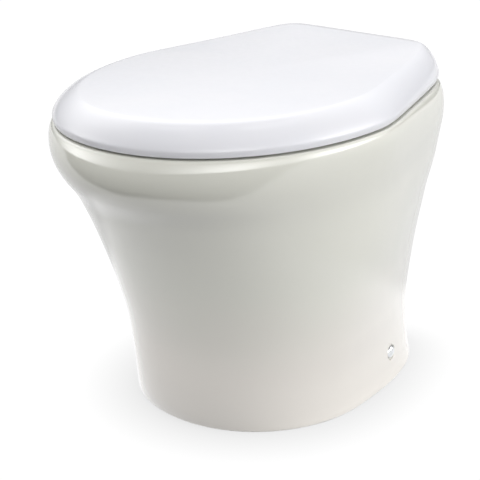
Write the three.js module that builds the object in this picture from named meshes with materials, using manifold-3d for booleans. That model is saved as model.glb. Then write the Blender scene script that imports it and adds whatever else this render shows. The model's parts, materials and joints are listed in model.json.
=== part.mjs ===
// Electric marine toilet: a low ceramic bowl, a wrap-over lid on a seat, a macerator pump and a rinse valve.
// Millimetres, +Z up. The front faces -Y, and the origin is on the floor at the middle of the overall length.
import * as THREE from "three";
import { mergeVertices } from "three/addons/utils/BufferGeometryUtils.js";
import Module from "manifold-3d";

const wasm = await Module();
wasm.setup();

// Ceramic bowl and pedestal
const overallLength = 478;
const ceramicHeight = 340.5;
const rimHalfWidth = 183.5;
const waistHalfWidth = 137.3;
const footInset = 118;
const footWidestPlace = 32;
const rimWidestPlace = -4;
const rimEdgeRadius = 3;
const skirtWall = 12;
const deckThickness = 18;
const mouthSideInset = 59.5;
const rimLedge = 53;
const deckReach = 147;
const mouthEdgeRadius = 7;
const bowlWall = 11;
const outletRadius = 22;
const outletInset = 227;
const outletRise = 30;
const bowlFloorRise = 15.7;
const spudRadius = 30;
const spudRise = 24;
const spudLength = 24;
const serviceHalfWidth = 72;
const serviceRise = 25;
const serviceCornerRadius = 30;

// Lid
const lidGap = 1.9;
const lidSideInset = 4;
const lidFrontInset = 6;
const lidRearOverhang = 11;
const lidWidestPlace = -4;
const lidFrontHeight = 29.6;
const lidRearHeight = 40.4;
const lidSideHeight = 6;
const lidSoftEdge = 28.5;
const lidRearSoftEdge = 12.2;
const lidWall = 3.6;
const lidCrown = 3;
const lidHemRadius = 1.2;
const lidHeelReach = 4;

// Seat
const seatGap = 5;
const seatBumperHeight = 4.5;
const seatBumperRadius = 8;
const seatThickness = 13.5;
const seatRearGap = 4;
const seatEdgeInset = 20;
const seatOpeningSideInset = 12;
const seatOpeningFrontInset = 8;
const seatOpeningRearInset = 12;
const seatOpeningRound = 6;
const frontBumperSideInset = 43.5;
const frontBumperInset = 144;
const rearBumperSideInset = 57.5;
const rearBumperInset = 129;
const lidBumperSideInset = 57.5;
const lidBumperPlace = -40;
const lidBumperRadius = 6;

// Hinge
const hingeInset = 18;
const hingeRise = 12.5;
const hingeBarrelRadius = 7.5;
const hingePinRadius = 3;
const hingePinReach = 13;
const hingePostInside = 70.5;
const hingePostWidth = 14;
const hingeLugWidth = 8;
const hingeSideGap = 1;
const hingePadWidth = 30;
const hingePadLength = 28;
const hingePadHeight = 6;
const hingeBoltSetback = 21;
const hingeBoltRadius = 4;
const hingeBoltLength = 50;
const hingeBoltHeadRadius = 7.5;
const hingeBoltHeadHeight = 2.5;
const hingeHoleRadius = 6.5;
const coneWasherRadius = 12;
const coneWasherHeight = 9;
const wingNutHeight = 9;
const wingNutRadius = 7.5;
const wingSpan = 17;
const wingThickness = 3;
const wingTurn = Math.PI / 3;

// Side bolts and floor brackets
const sideBoltInset = 128;
const sideBoltHeight = 33.5;
const sideBoltProud = 2.4;
const sideBoltRadius = 4;
const sideBoltLength = 32;
const sideBoltHeadRadius = 8;
const sideBoltHeadHeight = 5.5;
const sideBushRadius = 9.4;
const sideBushFlangeRadius = 12.5;
const sideBushFlangeHeight = 2.4;
const sideBushRecess = 0.6;
const bracketGap = 0.5;
const bracketThickness = 4;
const bracketHeight = 56;
const bracketFoot = 48;
const bracketLength = 46;
const bracketGussetThickness = 4;
const bracketNutRadius = 7.5;
const bracketNutHeight = 7;
const floorScrewInset = 30;
const floorScrewRadius = 2.7;
const floorScrewHeadRadius = 6;
const floorScrewHeadHeight = 3.5;

// Outlet boot
const bootWall = 4;
const bootFit = 0.9;
const bootBore = 17;
const bootLip = 4;
const bootSleeveGap = 1;
const clampWidth = 10;
const clampThickness = 1.5;
const clampScrewLength = 14;
const clampScrewHeight = 8;

// Macerator pump
const motorRise = 7.7;
const voluteReach = 66;
const voluteRadius = 46;
const voluteWall = 6;
const voluteLength = 33.7;
const inletNeckReach = 44;
const inletNeckRadius = 22;
const portSetback = 18;
const portRadius = 15;
const portBore = 11;
const portHeight = 62;
const voluteEarRadius = 6;
const backPlateLength = 12;
const shaftRadius = 4;
const shaftSetback = 8.5;
const shaftLength = 53.5;
const sealRadius = 11;
const sealLength = 6;
const cutterThickness = 3;
const cutterHoleRadius = 15;
const cutterSlotWidth = 5;
const bladeRunningGap = 0.8;
const bladeThickness = 3;
const bladeReach = 31;
const bladeHubRadius = 9;
const bladeWidth = 9;
const impellerRadius = 35;
const impellerPlateThickness = 3;
const impellerVaneHeight = 11;
const impellerVaneThickness = 3;
const impellerHubRadius = 10;
const impellerRunningGap = 2.5;
const motorRadius = 38;
const motorLength = 76;
const motorRolledEdge = 2;
const endCapLength = 17;
const endCapBossRadius = 15;
const endCapBossLength = 5;
const cradlePlateHalfWidth = 56;
const cradlePlateThickness = 4;
const cradleLength = 70;
const cradleInset = 4;
const cradleSaddleHalfWidth = 30;
const cradleFootHeight = 8;
const cradleFootRadius = 9;
const cradleFootInset = 12;
const strapWidth = 12;
const strapThickness = 1.6;
const strapEar = 12;

// Discharge
const elbowWall = 4;
const elbowBore = 12;
const elbowSocketLength = 15;
const elbowBend = 24;
const elbowRise = 8;
const dischargeFlangeRadius = 21;
const dischargeFlangeLength = 5;
const elbowReach = 52;
const unionNutRadius = 26;
const unionNutOverlap = 4;
const unionNutLip = 3.5;
const duckbillFlangeLength = 3;
const duckbillWall = 1.6;
const duckbillRadius = 12.5;
const duckbillLength = 26;
const duckbillSlit = 1;
const tailRadius = 17.5;
const tailBore = 14.5;
const tailInset = 4;
const tailBarbRadius = 19.5;
const tailBarbPitch = 9;

// Water valve
const valveSide = -48;
const coilShelfGap = 46;
const valveLength = 51;
const valveInset = 38;
const valveHalfWidth = 15;
const valveHalfHeight = 11;
const valveBore = 5;
const valveBossReach = 18.7;
const inletThreadRadius = 10;
const inletThreadBore = 6;
const inletThreadInset = 5;
const coilSetback = 15;
const coilRadius = 15;
const coilHeight = 30;
const coilLift = 3;
const guideRadius = 8;
const guideBore = 6;
const guideRise = 40;
const plungerRadius = 5.6;
const plungerLength = 22;
const plungerSeatRise = 6;
const springWire = 0.6;
const springRadius = 4.4;
const springTurns = 6;
const outletBarbSetback = 10;
const barbRadius = 6;
const barbBore = 4;
const barbLength = 18;
const strainerLength = 18;
const strainerWall = 1;
const valveBracketThickness = 3;
const valveBracketTabReach = 10;
const valveBracketDrop = 8;
const shelfDrop = 52.5;

// Vacuum breaker and rinse line
const breakerSide = -30;
const breakerStandoff = 53.5;
const breakerRadius = 14;
const breakerHeight = 27;
const breakerNeckRadius = 9.7;
const breakerNeckLength = 11;
const breakerFloor = 7;
const breakerBore = 10;
const breakerOutletRise = 17;
const breakerCapHeight = 8;
const breakerCapRadius = 15;
const floatRadius = 9.2;
const floatThickness = 3;
const floatStemRadius = 2;
const floatStemLength = 10;
const rinseHoleRadius = 6.6;
const rinseBossRadius = 14;
const rinseBossProud = 1.5;
const rinseNozzleLength = 12.5;
const rinseFlangeRadius = 11;
const rinseFlangeLength = 3;
const rinseHoseWall = 2.7;

// Fits and cutting tools
const fitClearance = 0.3;
const cutOverrun = 2;
const weldDistance = 0.001;

// Shapes of the ceramic's sections, from the floor to the rim: shares of its height and of its named sizes
const sectionHeightShares = [0, 0.047, 0.132, 0.264, 0.44, 0.63, 0.778, 0.88, 0.963, 1];
const sectionWidthShares = [0.1, 0.026, 0, 0.1, 0.34, 0.62, 0.773, 0.918, 1, 0.961];
const sectionReachShares = [0, 0.042, 0.083, 0.121, 0.254, 0.483, 0.78, 1, 0.979, 0.953];
const sectionTaperShares = [0.09, 0.155, 0.245, 0.33, 0.352, 0.333, 0.283, 0.283, 0.307, 0.34];
const ringHeightShares = [
  0, 0.022, 0.047, 0.09, 0.132, 0.2, 0.27, 0.36, 0.45, 0.54, 0.63, 0.71, 0.778, 0.83, 0.88, 0.93, 0.963,
];
const cavityHeightShares = [0, 0.132, 0.35, 0.56, 0.75, 0.88];

// Shape of the inner bowl, from the mouth down: shares of the height, of the mouth's size and of the way to
// the outlet
const bowlHeightShares = [0.912, 0.88, 0.76, 0.552, 0.328, 0.136, 0];
const bowlWidthShares = [1, 1.03, 1.02, 0.92, 0.75, 0.55, 0.35];
const bowlLengthShares = [1, 1.03, 1.02, 0.9, 0.72, 0.52, 0.32];
const bowlShiftShares = [0, 0, 0.02, 0.12, 0.32, 0.62, 0.9];

// Shape of the lid and seat
const lidTaperShare = 0.343;
const lidRiseShares = [0, 0.25, 0.5, 0.7, 0.84, 0.94, 1];
const lidCrownShares = [0.8, 0.55, 0.28];
const seatTaperShare = 0.29;
const seatRearPower = 5;
const seatRiseShares = [0, 0.35, 0.65, 0.85, 1];
const frontPower = 2.06;
const footRearPower = 3;
const rimRearPower = 9;
const footTaperEase = 1.5;
const rimTaperEase = 0.1;
const lidRearPower = 13;
const lidEdgePower = 1.5;
const lidRisePower = 3;
const cornerCrowdShare = 0.15;

// Quality
const skirtQuarterSteps = 15;
const bowlQuarterSteps = 11;
const cavityQuarterSteps = 11;
const lidQuarterSteps = 14;
const seatQuarterSteps = 12;
const largeSides = 20;
const mediumSides = 14;
const smallSides = 10;
const bendSteps = 6;
const springSteps = 8;

// Places that several pieces share
const rearFace = overallLength / 2;
const footReach = rearFace - footInset;
const deckUnderside = ceramicHeight - deckThickness;
const mouthHalfWidth = rimHalfWidth - mouthSideInset;
const mouthLength = overallLength - rimLedge - deckReach;
const mouthPlace = (rimLedge - deckReach) / 2;
const outletPlace = rearFace - outletInset;
const lidBase = ceramicHeight + lidGap;
const lidHalfWidth = rimHalfWidth - lidSideInset;
const lidFrontReach = rearFace - lidFrontInset;
const hingePlace = rearFace - hingeInset;
const hingeHeight = ceramicHeight + hingeRise;
const hingeBoltPlace = hingePlace - hingeBoltSetback;
const hingeBoltSide = hingePostInside + hingePadWidth / 2;
const lidRearReach = hingePlace + lidRearOverhang;
const seatBase = ceramicHeight + seatBumperHeight;
const seatTop = seatBase + seatThickness;
const seatRearReach = hingeBoltPlace - hingePadLength / 2 - seatRearGap;
const seatOpeningHalfWidth = mouthHalfWidth - seatOpeningSideInset;
const seatOpeningLength = mouthLength - seatOpeningFrontInset - seatOpeningRearInset;
const seatOpeningPlace = mouthPlace + (seatOpeningFrontInset - seatOpeningRearInset) / 2;
const frontBumperSide = rimHalfWidth - frontBumperSideInset;
const frontBumperPlace = frontBumperInset - rearFace;
const rearBumperSide = rimHalfWidth - rearBumperSideInset;
const rearBumperPlace = rearFace - rearBumperInset;
const lidBumperSide = rimHalfWidth - lidBumperSideInset;
const sideBoltPlace = rearFace - sideBoltInset;
const cradleBase = cradleFootHeight + fitClearance;
const pumpAxisHeight = cradleBase + cradlePlateThickness + motorRise + motorRadius;
const spudBase = pumpAxisHeight + spudRise;
const spudTop = spudBase + spudLength;
const outletTop = spudBase + outletRise;
const bowlFloor = outletTop + bowlFloorRise;
const bootTop = spudTop - bootLip;
const inletNeckStart = outletPlace + inletNeckReach;
const voluteFront = outletPlace + voluteReach;
const voluteRear = voluteFront + voluteLength;
const bootSleeveEnd = voluteFront - bootSleeveGap;
const portPlace = voluteFront + portSetback;
const shaftFront = voluteFront + shaftSetback;
const shaftRear = shaftFront + shaftLength;
const backPlateFront = voluteRear + fitClearance;
const motorFront = backPlateFront + backPlateLength + fitClearance;
const motorRear = motorFront + motorLength;
const elbowBase = pumpAxisHeight + portHeight + fitClearance;
const elbowEnd = portPlace + elbowReach;
const dischargeHeight = elbowBase + elbowRise + elbowBend;
const duckbillFront = elbowEnd + fitClearance;
const tailFront = duckbillFront + duckbillFlangeLength + fitClearance;
const tailEnd = rearFace - tailInset;
const bracketTabTop = deckUnderside - coneWasherHeight - 2 * fitClearance;
const valveBracketShelf = deckUnderside - shelfDrop;
const valveHeight = valveBracketShelf - coilShelfGap - coilHeight - coilLift - valveHalfHeight;
const valveBracketBottom = valveHeight - valveBracketDrop;
const valveRear = rearFace - valveInset;
const valveFront = valveRear - valveLength;
const inletThreadEnd = rearFace - inletThreadInset;
const coilPlace = valveRear - coilSetback;
const outletBarbPlace = valveFront + outletBarbSetback;
const serviceHeight = Math.max(valveHeight, dischargeHeight) + serviceRise;
const breakerBase = valveBracketShelf + valveBracketThickness + fitClearance;
const rinseHeight = breakerBase + breakerOutletRise;
const rinseBossFace = rearFace - deckReach + bowlWall + rinseBossProud;
const rinseNozzleEnd = rinseBossFace - rinseNozzleLength;
const breakerPlace = rinseBossFace + breakerStandoff;

// Materials
function finish(color, roughness, metalness) {
  return new THREE.MeshStandardMaterial({ color, roughness, metalness });
}
const glaze = finish(0xe6e1d6, 0.08, 0);
const whitePlastic = finish(0xf2f2f6, 0.18, 0);
const palePlastic = finish(0xdcdcd6, 0.4, 0);
const blackPlastic = finish(0x1d1f21, 0.5, 0);
const rubber = finish(0x222222, 0.85, 0);
const chrome = finish(0xd8dadd, 0.08, 1);
const steel = finish(0xb4b6b8, 0.35, 1);
const paintedMetal = finish(0x2b3036, 0.45, 0.3);
const brass = finish(0xb08d4a, 0.3, 1);

// Solids and geometries
function solidOf(geometry) {
  const bare = geometry.clone();
  bare.deleteAttribute("normal");
  bare.deleteAttribute("uv");
  const merged = mergeVertices(bare, weldDistance);
  const triVerts = new Uint32Array(merged.index.array);
  const vertProperties = merged.attributes.position.array;
  return new wasm.Manifold(new wasm.Mesh({ numProp: 3, vertProperties, triVerts }));
}

function geometryOf(solid) {
  const mesh = solid.getMesh();
  const geometry = new THREE.BufferGeometry();
  geometry.setAttribute("position", new THREE.BufferAttribute(mesh.vertProperties, 3));
  geometry.setIndex(new THREE.BufferAttribute(mesh.triVerts, 1));
  geometry.computeVertexNormals();
  return geometry;
}

function join(first, ...others) {
  return geometryOf(others.reduce((solid, other) => solid.add(solidOf(other)), solidOf(first)));
}

// The part of a piece that lies within another.
function within(piece, bounds) {
  return geometryOf(solidOf(piece).intersect(solidOf(bounds)));
}

function cut(base, ...tools) {
  return geometryOf(tools.reduce((solid, tool) => solid.subtract(solidOf(tool)), solidOf(base)));
}

// A value on a smooth curve through (places, values) that doesn't overshoot between its points.
function smoothValue(places, values, at) {
  const last = places.length - 1;
  const gaps = places.slice(1).map((place, i) => place - places[i]);
  const rises = gaps.map((gap, i) => (values[i + 1] - values[i]) / gap);
  const slopes = places.map((_, i) => {
    if (i === 0) return rises[0];
    if (i === last) return rises[last - 1];
    if (rises[i - 1] * rises[i] <= 0) return 0;
    const before = 2 * gaps[i] + gaps[i - 1];
    const after = gaps[i] + 2 * gaps[i - 1];
    return (before + after) / (before / rises[i - 1] + after / rises[i]);
  });
  const found = places.findIndex((place) => place > at);
  const k = found < 0 ? last - 1 : Math.max(found - 1, 0);
  const t = (at - places[k]) / gaps[k];
  const start = (1 + 2 * t) * (1 - t) ** 2 * values[k] + t * (1 - t) ** 2 * gaps[k] * slopes[k];
  return start + t * t * (3 - 2 * t) * values[k + 1] + t * t * (t - 1) * gaps[k] * slopes[k + 1];
}

// How much of the taper is reached at a share of the way back: none at first, then in proportion.
function easedRun(run, ease) {
  return (Math.hypot(run, ease) - ease) / (Math.hypot(1, ease) - ease);
}

// A closed outline seen from above: a superellipse in front of its widest place, a tapering one behind it.
// The form holds the half width, the y of its front, widest place and rear, the taper and how softly the
// taper starts, and the powers.
function outline(form, quarterSteps) {
  const right = [];
  for (let step = -quarterSteps; step <= quarterSteps; step += 1) {
    const turn = step / quarterSteps;
    const crowding = turn > 0 ? cornerCrowdShare * Math.sin(2 * Math.PI * turn) : 0;
    const angle = (Math.PI / 2) * turn + crowding;
    const power = turn < 0 ? form.frontPower : form.rearPower;
    const across = Math.abs(Math.cos(angle));
    const along = Math.sin(angle);
    const reach = (across ** power + Math.abs(along) ** power) ** (1 / power);
    const run = along / reach;
    const narrowing = turn > 0 ? 1 - form.taperShare * easedRun(run, form.taperEase) : 1;
    const length = turn < 0 ? form.widest - form.front : form.rear - form.widest;
    right.push(new THREE.Vector2(
      (form.halfWidth * across * narrowing) / reach, form.widest + length * run,
    ));
  }
  const left = right.slice(1, -1).reverse().map((point) => new THREE.Vector2(-point.x, point.y));
  return [...right, ...left];
}

const ovalPowers = { frontPower: 2, rearPower: 2, taperShare: 0, taperEase: 1 };

function circleForm(radius, place) {
  return { halfWidth: radius, front: place - radius, widest: place, rear: place + radius, ...ovalPowers };
}

function inset(form, amount, rearAmount = amount) {
  const front = form.front + amount;
  const rear = form.rear - rearAmount;
  const smaller = { halfWidth: form.halfWidth - amount, front, rear };
  return { ...form, ...smaller };
}

function ringAt(form, quarterSteps, height) {
  return outline(form, quarterSteps).map((point) => new THREE.Vector3(point.x, point.y, height));
}

// A closed skin over rings of equal count, from the lowest to the highest, capped by a fan at each end.
function loft(rings) {
  const count = rings[0].length;
  const points = rings.flat();
  const index = [];
  for (let ring = 0; ring < rings.length - 1; ring += 1) {
    for (let i = 0; i < count; i += 1) {
      const a = ring * count + i;
      const b = ring * count + ((i + 1) % count);
      index.push(a, b, b + count, a, b + count, a + count);
    }
  }
  const ends = [rings[0], rings[rings.length - 1]];
  ends.forEach((ring, end) => {
    const middle = ring.reduce((sum, point) => sum.add(point), new THREE.Vector3()).divideScalar(count);
    const first = end === 0 ? 0 : points.length - 1 - count;
    points.push(middle);
    for (let i = 0; i < count; i += 1) {
      const a = first + i;
      const b = first + ((i + 1) % count);
      index.push(points.length - 1, end === 0 ? b : a, end === 0 ? a : b);
    }
  });
  return new THREE.BufferGeometry().setFromPoints(points).setIndex(index);
}

// A turned piece on the Z axis: its profile runs from the lowest point up as [radius, height] pairs.
function turned(profile, sides) {
  const points = profile.map(([radius, height]) => new THREE.Vector2(radius, height));
  return new THREE.LatheGeometry(points, sides).rotateX(Math.PI / 2);
}

function turnedAlongY(profile, sides) {
  return turned(profile, sides).rotateX(-Math.PI / 2);
}

function turnedAlongX(profile, sides) {
  return turned(profile, sides).rotateY(Math.PI / 2);
}

function rod(radius, low, high, sides) {
  return turned([[0, low], [radius, low], [radius, high], [0, high]], sides);
}

function rodAlongY(radius, low, high, sides) {
  return turnedAlongY([[0, low], [radius, low], [radius, high], [0, high]], sides);
}

function rodAlongX(radius, low, high, sides) {
  return turnedAlongX([[0, low], [radius, low], [radius, high], [0, high]], sides);
}

// A box between two corners.
function block(low, high) {
  const size = high.map((value, i) => value - low[i]);
  const middle = high.map((value, i) => (value + low[i]) / 2);
  return new THREE.BoxGeometry(...size).translate(...middle);
}

// A flat shape in the XZ plane, as thick as the stretch from low to high along Y.
function slabAlongY(shape, low, high) {
  const flat = { depth: high - low, bevelEnabled: false, curveSegments: smallSides / 2 };
  return new THREE.ExtrudeGeometry(shape, flat).rotateX(Math.PI / 2).translate(0, high, 0);
}

// A flat shape drawn as (y, z), as thick as the stretch from low to high along X.
function slabAlongX(shape, low, high) {
  const flat = { depth: high - low, bevelEnabled: false, curveSegments: smallSides / 2 };
  const solid = new THREE.ExtrudeGeometry(shape, flat);
  return solid.rotateX(Math.PI / 2).rotateZ(Math.PI / 2).translate(low, 0, 0);
}

// A solid bar of round section along a route.
function bar(route, radius, steps, sides) {
  const section = new THREE.Shape().absarc(0, 0, radius, 0, 2 * Math.PI);
  return new THREE.ExtrudeGeometry(section, { extrudePath: route, steps, curveSegments: sides / 2 });
}

function route(...points) {
  const places = points.map((point) => new THREE.Vector3(...point));
  return new THREE.CatmullRomCurve3(places, false, "centripetal");
}

const toilet = new THREE.Group();

function add(name, geometry, material, place = [0, 0, 0], parent = toilet) {
  const mesh = new THREE.Mesh(geometry, material);
  mesh.name = name;
  mesh.position.set(...place);
  parent.add(mesh);
  return mesh;
}

const sides = [["left", -1], ["right", 1]];

// The ceramic's outer form at a height.
function skirtForm(height) {
  const share = height / ceramicHeight;
  const widthShare = smoothValue(sectionHeightShares, sectionWidthShares, share);
  const reachShare = smoothValue(sectionHeightShares, sectionReachShares, share);
  return {
    halfWidth: waistHalfWidth + (rimHalfWidth - waistHalfWidth) * widthShare,
    front: -(footReach + (rearFace - footReach) * reachShare),
    widest: footWidestPlace + (rimWidestPlace - footWidestPlace) * share,
    rear: rearFace,
    taperShare: smoothValue(sectionHeightShares, sectionTaperShares, share),
    frontPower,
    rearPower: footRearPower + (rimRearPower - footRearPower) * share,
    taperEase: footTaperEase * (rimTaperEase / footTaperEase) ** share,
  };
}

// How far out the ceramic's side reaches behind its widest place, less a wall.
function sideReach(height, place, wall) {
  const form = inset(skirtForm(height), wall);
  const run = (place - form.widest) / (form.rear - form.widest);
  const across = (1 - run ** form.rearPower) ** (1 / form.rearPower);
  return form.halfWidth * across * (1 - form.taperShare * easedRun(run, form.taperEase));
}

const sideFace = sideReach(sideBoltHeight, sideBoltPlace, 0);
const sideBoltReach = sideFace + sideBoltProud;
const sideBushReach = sideFace - sideBushRecess;
const bracketFace = sideReach(bracketHeight, sideBoltPlace + bracketLength / 2, skirtWall) - bracketGap;

// The inner bowl's form in one of its rows, or that form moved outwards by a wall.
function bowlForm(row, wall) {
  const middle = mouthPlace + (outletPlace - mouthPlace) * bowlShiftShares[row];
  const half = (mouthLength / 2) * bowlLengthShares[row] + wall;
  const halfWidth = mouthHalfWidth * bowlWidthShares[row] + wall;
  return { halfWidth, front: middle - half, widest: middle, rear: middle + half, ...ovalPowers };
}

function bowlHeight(row) {
  return bowlFloor + (ceramicHeight - bowlFloor) * bowlHeightShares[row];
}

function bowlRows() {
  return bowlHeightShares.map((_, i) => bowlHeightShares.length - 1 - i);
}

function makeBowlInside() {
  const rings = [
    ringAt(circleForm(outletRadius, outletPlace), bowlQuarterSteps, spudBase - cutOverrun),
    ringAt(circleForm(outletRadius, outletPlace), bowlQuarterSteps, outletTop),
  ];
  bowlRows().forEach((row) => {
    rings.push(ringAt(bowlForm(row, 0), bowlQuarterSteps, bowlHeight(row)));
  });
  [0, Math.PI / 6, Math.PI / 3, Math.PI / 2].forEach((angle) => {
    const out = mouthEdgeRadius * (1 - Math.cos(angle));
    const height = ceramicHeight - mouthEdgeRadius * (1 - Math.sin(angle));
    rings.push(ringAt(bowlForm(0, out), bowlQuarterSteps, height));
  });
  rings.push(ringAt(bowlForm(0, mouthEdgeRadius), bowlQuarterSteps, ceramicHeight + cutOverrun));
  return loft(rings);
}

function makeBowlOutside() {
  const rings = [
    ringAt(circleForm(spudRadius, outletPlace), bowlQuarterSteps, spudBase),
    ringAt(circleForm(spudRadius, outletPlace), bowlQuarterSteps, spudTop),
  ];
  bowlRows().slice(0, -2).forEach((row) => {
    rings.push(ringAt(bowlForm(row, bowlWall), bowlQuarterSteps, bowlHeight(row) - bowlWall / 2));
  });
  rings.push(ringAt(bowlForm(0, bowlWall), bowlQuarterSteps, deckUnderside - fitClearance));
  const boss = rodAlongY(rinseBossRadius, mouthPlace, rinseBossFace, mediumSides);
  return join(loft(rings), boss.translate(breakerSide, 0, rinseHeight));
}

function makeServiceOpening() {
  const arch = new THREE.Shape();
  arch.moveTo(-serviceHalfWidth, -cutOverrun);
  arch.lineTo(serviceHalfWidth, -cutOverrun);
  const top = serviceHeight - serviceCornerRadius;
  const corner = serviceHalfWidth - serviceCornerRadius;
  arch.absarc(corner, top, serviceCornerRadius, 0, Math.PI / 2);
  arch.absarc(-corner, top, serviceCornerRadius, Math.PI / 2, Math.PI);
  return slabAlongY(arch, rearFace - 3 * skirtWall, rearFace + cutOverrun);
}

// The fired piece is one, but its solid is split under the deck, so that collision follows the bowl's inside.
function makePedestal() {
  const skirt = ringHeightShares.map((share) => {
    const height = ceramicHeight * share;
    return ringAt(skirtForm(height), skirtQuarterSteps, height);
  });
  [0, Math.PI / 6, Math.PI / 3, Math.PI / 2].forEach((angle) => {
    const height = ceramicHeight - rimEdgeRadius * (1 - Math.sin(angle));
    const form = inset(skirtForm(height), rimEdgeRadius * (1 - Math.cos(angle)));
    skirt.push(ringAt(form, skirtQuarterSteps, height));
  });
  const hollow = cavityHeightShares.map((share) => {
    const height = ceramicHeight * share;
    const low = share === 0 ? -cutOverrun : height;
    return ringAt(inset(skirtForm(height), skirtWall), cavityQuarterSteps, low);
  });
  hollow.push(ringAt(inset(skirtForm(deckUnderside), skirtWall), cavityQuarterSteps, deckUnderside));
  const holes = [];
  sides.forEach(([, side]) => {
    const hingeHole = rod(
      hingeHoleRadius, deckUnderside - cutOverrun, ceramicHeight + cutOverrun, mediumSides,
    );
    holes.push(hingeHole.translate(side * hingeBoltSide, hingeBoltPlace, 0));
    const near = side * bracketFace;
    const far = side * (sideBoltReach + cutOverrun);
    const [low, high] = [Math.min(near, far), Math.max(near, far)];
    const sideHole = rodAlongX(sideBushRadius + fitClearance, low, high, mediumSides);
    holes.push(sideHole.translate(0, sideBoltPlace, sideBoltHeight));
  });
  return cut(loft(skirt), loft(hollow), makeBowlInside(), makeServiceOpening(), ...holes);
}

function makeBowl() {
  const rinseHole = rodAlongY(rinseHoleRadius, 0, rinseBossFace + cutOverrun, mediumSides);
  return cut(makeBowlOutside(), makeBowlInside(), rinseHole.translate(breakerSide, 0, rinseHeight));
}

add("ceramic_pedestal", makePedestal(), glaze);
add("ceramic_bowl", makeBowl(), glaze);

// The lid's outer form, and the height of its top above its hem at a place.
const lidForm = {
  halfWidth: lidHalfWidth,
  front: -lidFrontReach,
  widest: lidWidestPlace,
  rear: lidRearReach,
  taperShare: lidTaperShare,
  frontPower,
  rearPower: lidRearPower,
  taperEase: rimTaperEase,
};

function lidThickness(place) {
  const share = Math.max((place + lidFrontReach) / (lidFrontReach + lidRearReach), 0);
  return lidFrontHeight + (lidRearHeight - lidFrontHeight) * share ** lidRisePower;
}

// The lid's closed form, or the hollow one wall inside it: an upright side, a soft edge and a crown.
function makeLidForm(wall, base) {
  const outer = inset(lidForm, wall);
  const side = lidBase + lidSideHeight;
  const risen = (form, riseShare, lift) =>
    outline(form, lidQuarterSteps).map((point) => {
      const top = lidBase + lidThickness(point.y) - wall;
      return new THREE.Vector3(point.x, point.y, side + (top - side) * riseShare + lift);
    });
  const rings = [ringAt(outer, lidQuarterSteps, base)];
  if (wall === 0) {
    rings[0] = ringAt(inset(outer, lidHemRadius), lidQuarterSteps, base);
    rings.push(ringAt(outer, lidQuarterSteps, base + lidHemRadius));
  }
  lidRiseShares.forEach((share) => {
    const soft = 1 - (1 - share ** lidEdgePower) ** (1 / lidEdgePower);
    rings.push(risen(inset(outer, lidSoftEdge * soft, lidRearSoftEdge * soft), share, 0));
  });
  const top = inset(outer, lidSoftEdge, lidRearSoftEdge);
  lidCrownShares.forEach((share) => {
    const front = top.front * share;
    const rear = top.rear * share;
    const shrunk = { ...top, halfWidth: top.halfWidth * share, front, rear };
    rings.push(risen({ ...shrunk, widest: top.widest * share }, 1, lidCrown * (1 - share * share)));
  });
  return loft(rings);
}

// What the lid leaves out behind the hinge axis, so that it turns clear of the deck.
function makeLidHeel() {
  const radius = hingeRise - lidGap / 2 + fitClearance;
  const inner = hingePlace + lidHeelReach;
  const low = lidBase - cutOverrun;
  const angle = -Math.acos(lidHeelReach / radius);
  const heel = new THREE.Shape();
  heel.moveTo(hingePlace, low);
  heel.lineTo(lidRearReach + cutOverrun, low);
  heel.lineTo(lidRearReach + cutOverrun, hingeHeight + hingeBarrelRadius + lidGap);
  heel.lineTo(inner, hingeHeight + hingeBarrelRadius + lidGap);
  heel.absarc(hingePlace, hingeHeight, radius, angle, -Math.PI / 2, true);
  return slabAlongX(heel, -lidHalfWidth, lidHalfWidth);
}

function pinHole(low, high) {
  const hole = rodAlongX(hingePinRadius + fitClearance * 1.2, low, high, smallSides);
  return hole.translate(0, hingePlace, hingeHeight);
}

const lugInside = hingePostInside + hingePostWidth + hingeSideGap;

function makeLidLug(side) {
  const lug = new THREE.Shape();
  const top = lidBase + lidRearHeight - lidWall / 2;
  lug.moveTo(hingePlace - hingeBarrelRadius, top);
  lug.absarc(hingePlace, hingeHeight, hingeBarrelRadius, Math.PI, 2 * Math.PI);
  lug.lineTo(hingePlace + hingeBarrelRadius - lidWall, top - lidWall);
  lug.lineTo(hingePlace + hingePinRadius, top);
  const near = side * lugInside;
  const far = side * (lugInside + hingeLugWidth);
  return slabAlongX(lug, Math.min(near, far), Math.max(near, far));
}

function makeLid() {
  const hollow = makeLidForm(lidWall, lidBase - cutOverrun);
  const outside = makeLidForm(0, lidBase);
  const shell = cut(outside, hollow, makeLidHeel());
  const lugs = sides.map(([, side]) => within(makeLidLug(side), outside));
  const reach = lugInside + hingeLugWidth + cutOverrun;
  return cut(join(shell, ...lugs), pinHole(-reach, reach));
}

const lidGroup = new THREE.Group();
toilet.add(lidGroup);
add("lid", makeLid(), whitePlastic, [0, 0, 0], lidGroup);

sides.forEach(([name, side]) => {
  const top = lidBase + lidThickness(lidBumperPlace - lidBumperRadius) - lidWall - 2 * fitClearance;
  const height = top - seatTop - fitClearance;
  const foot = [[0, 0], [lidBumperRadius * 0.8, 0], [lidBumperRadius, lidBumperRadius / 4]];
  const bumper = turned([...foot, [lidBumperRadius, height], [0, height]], smallSides);
  const place = [side * lidBumperSide, lidBumperPlace, seatTop + fitClearance];
  add("lid_bumper_" + name, bumper, rubber, place, lidGroup);
});

// Seat ring with its hinge block between the posts
const seatInset = lidWall + seatGap;
const seatForm = {
  ...inset(lidForm, seatInset),
  rear: seatRearReach,
  rearPower: seatRearPower,
  taperShare: seatTaperShare,
};

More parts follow.
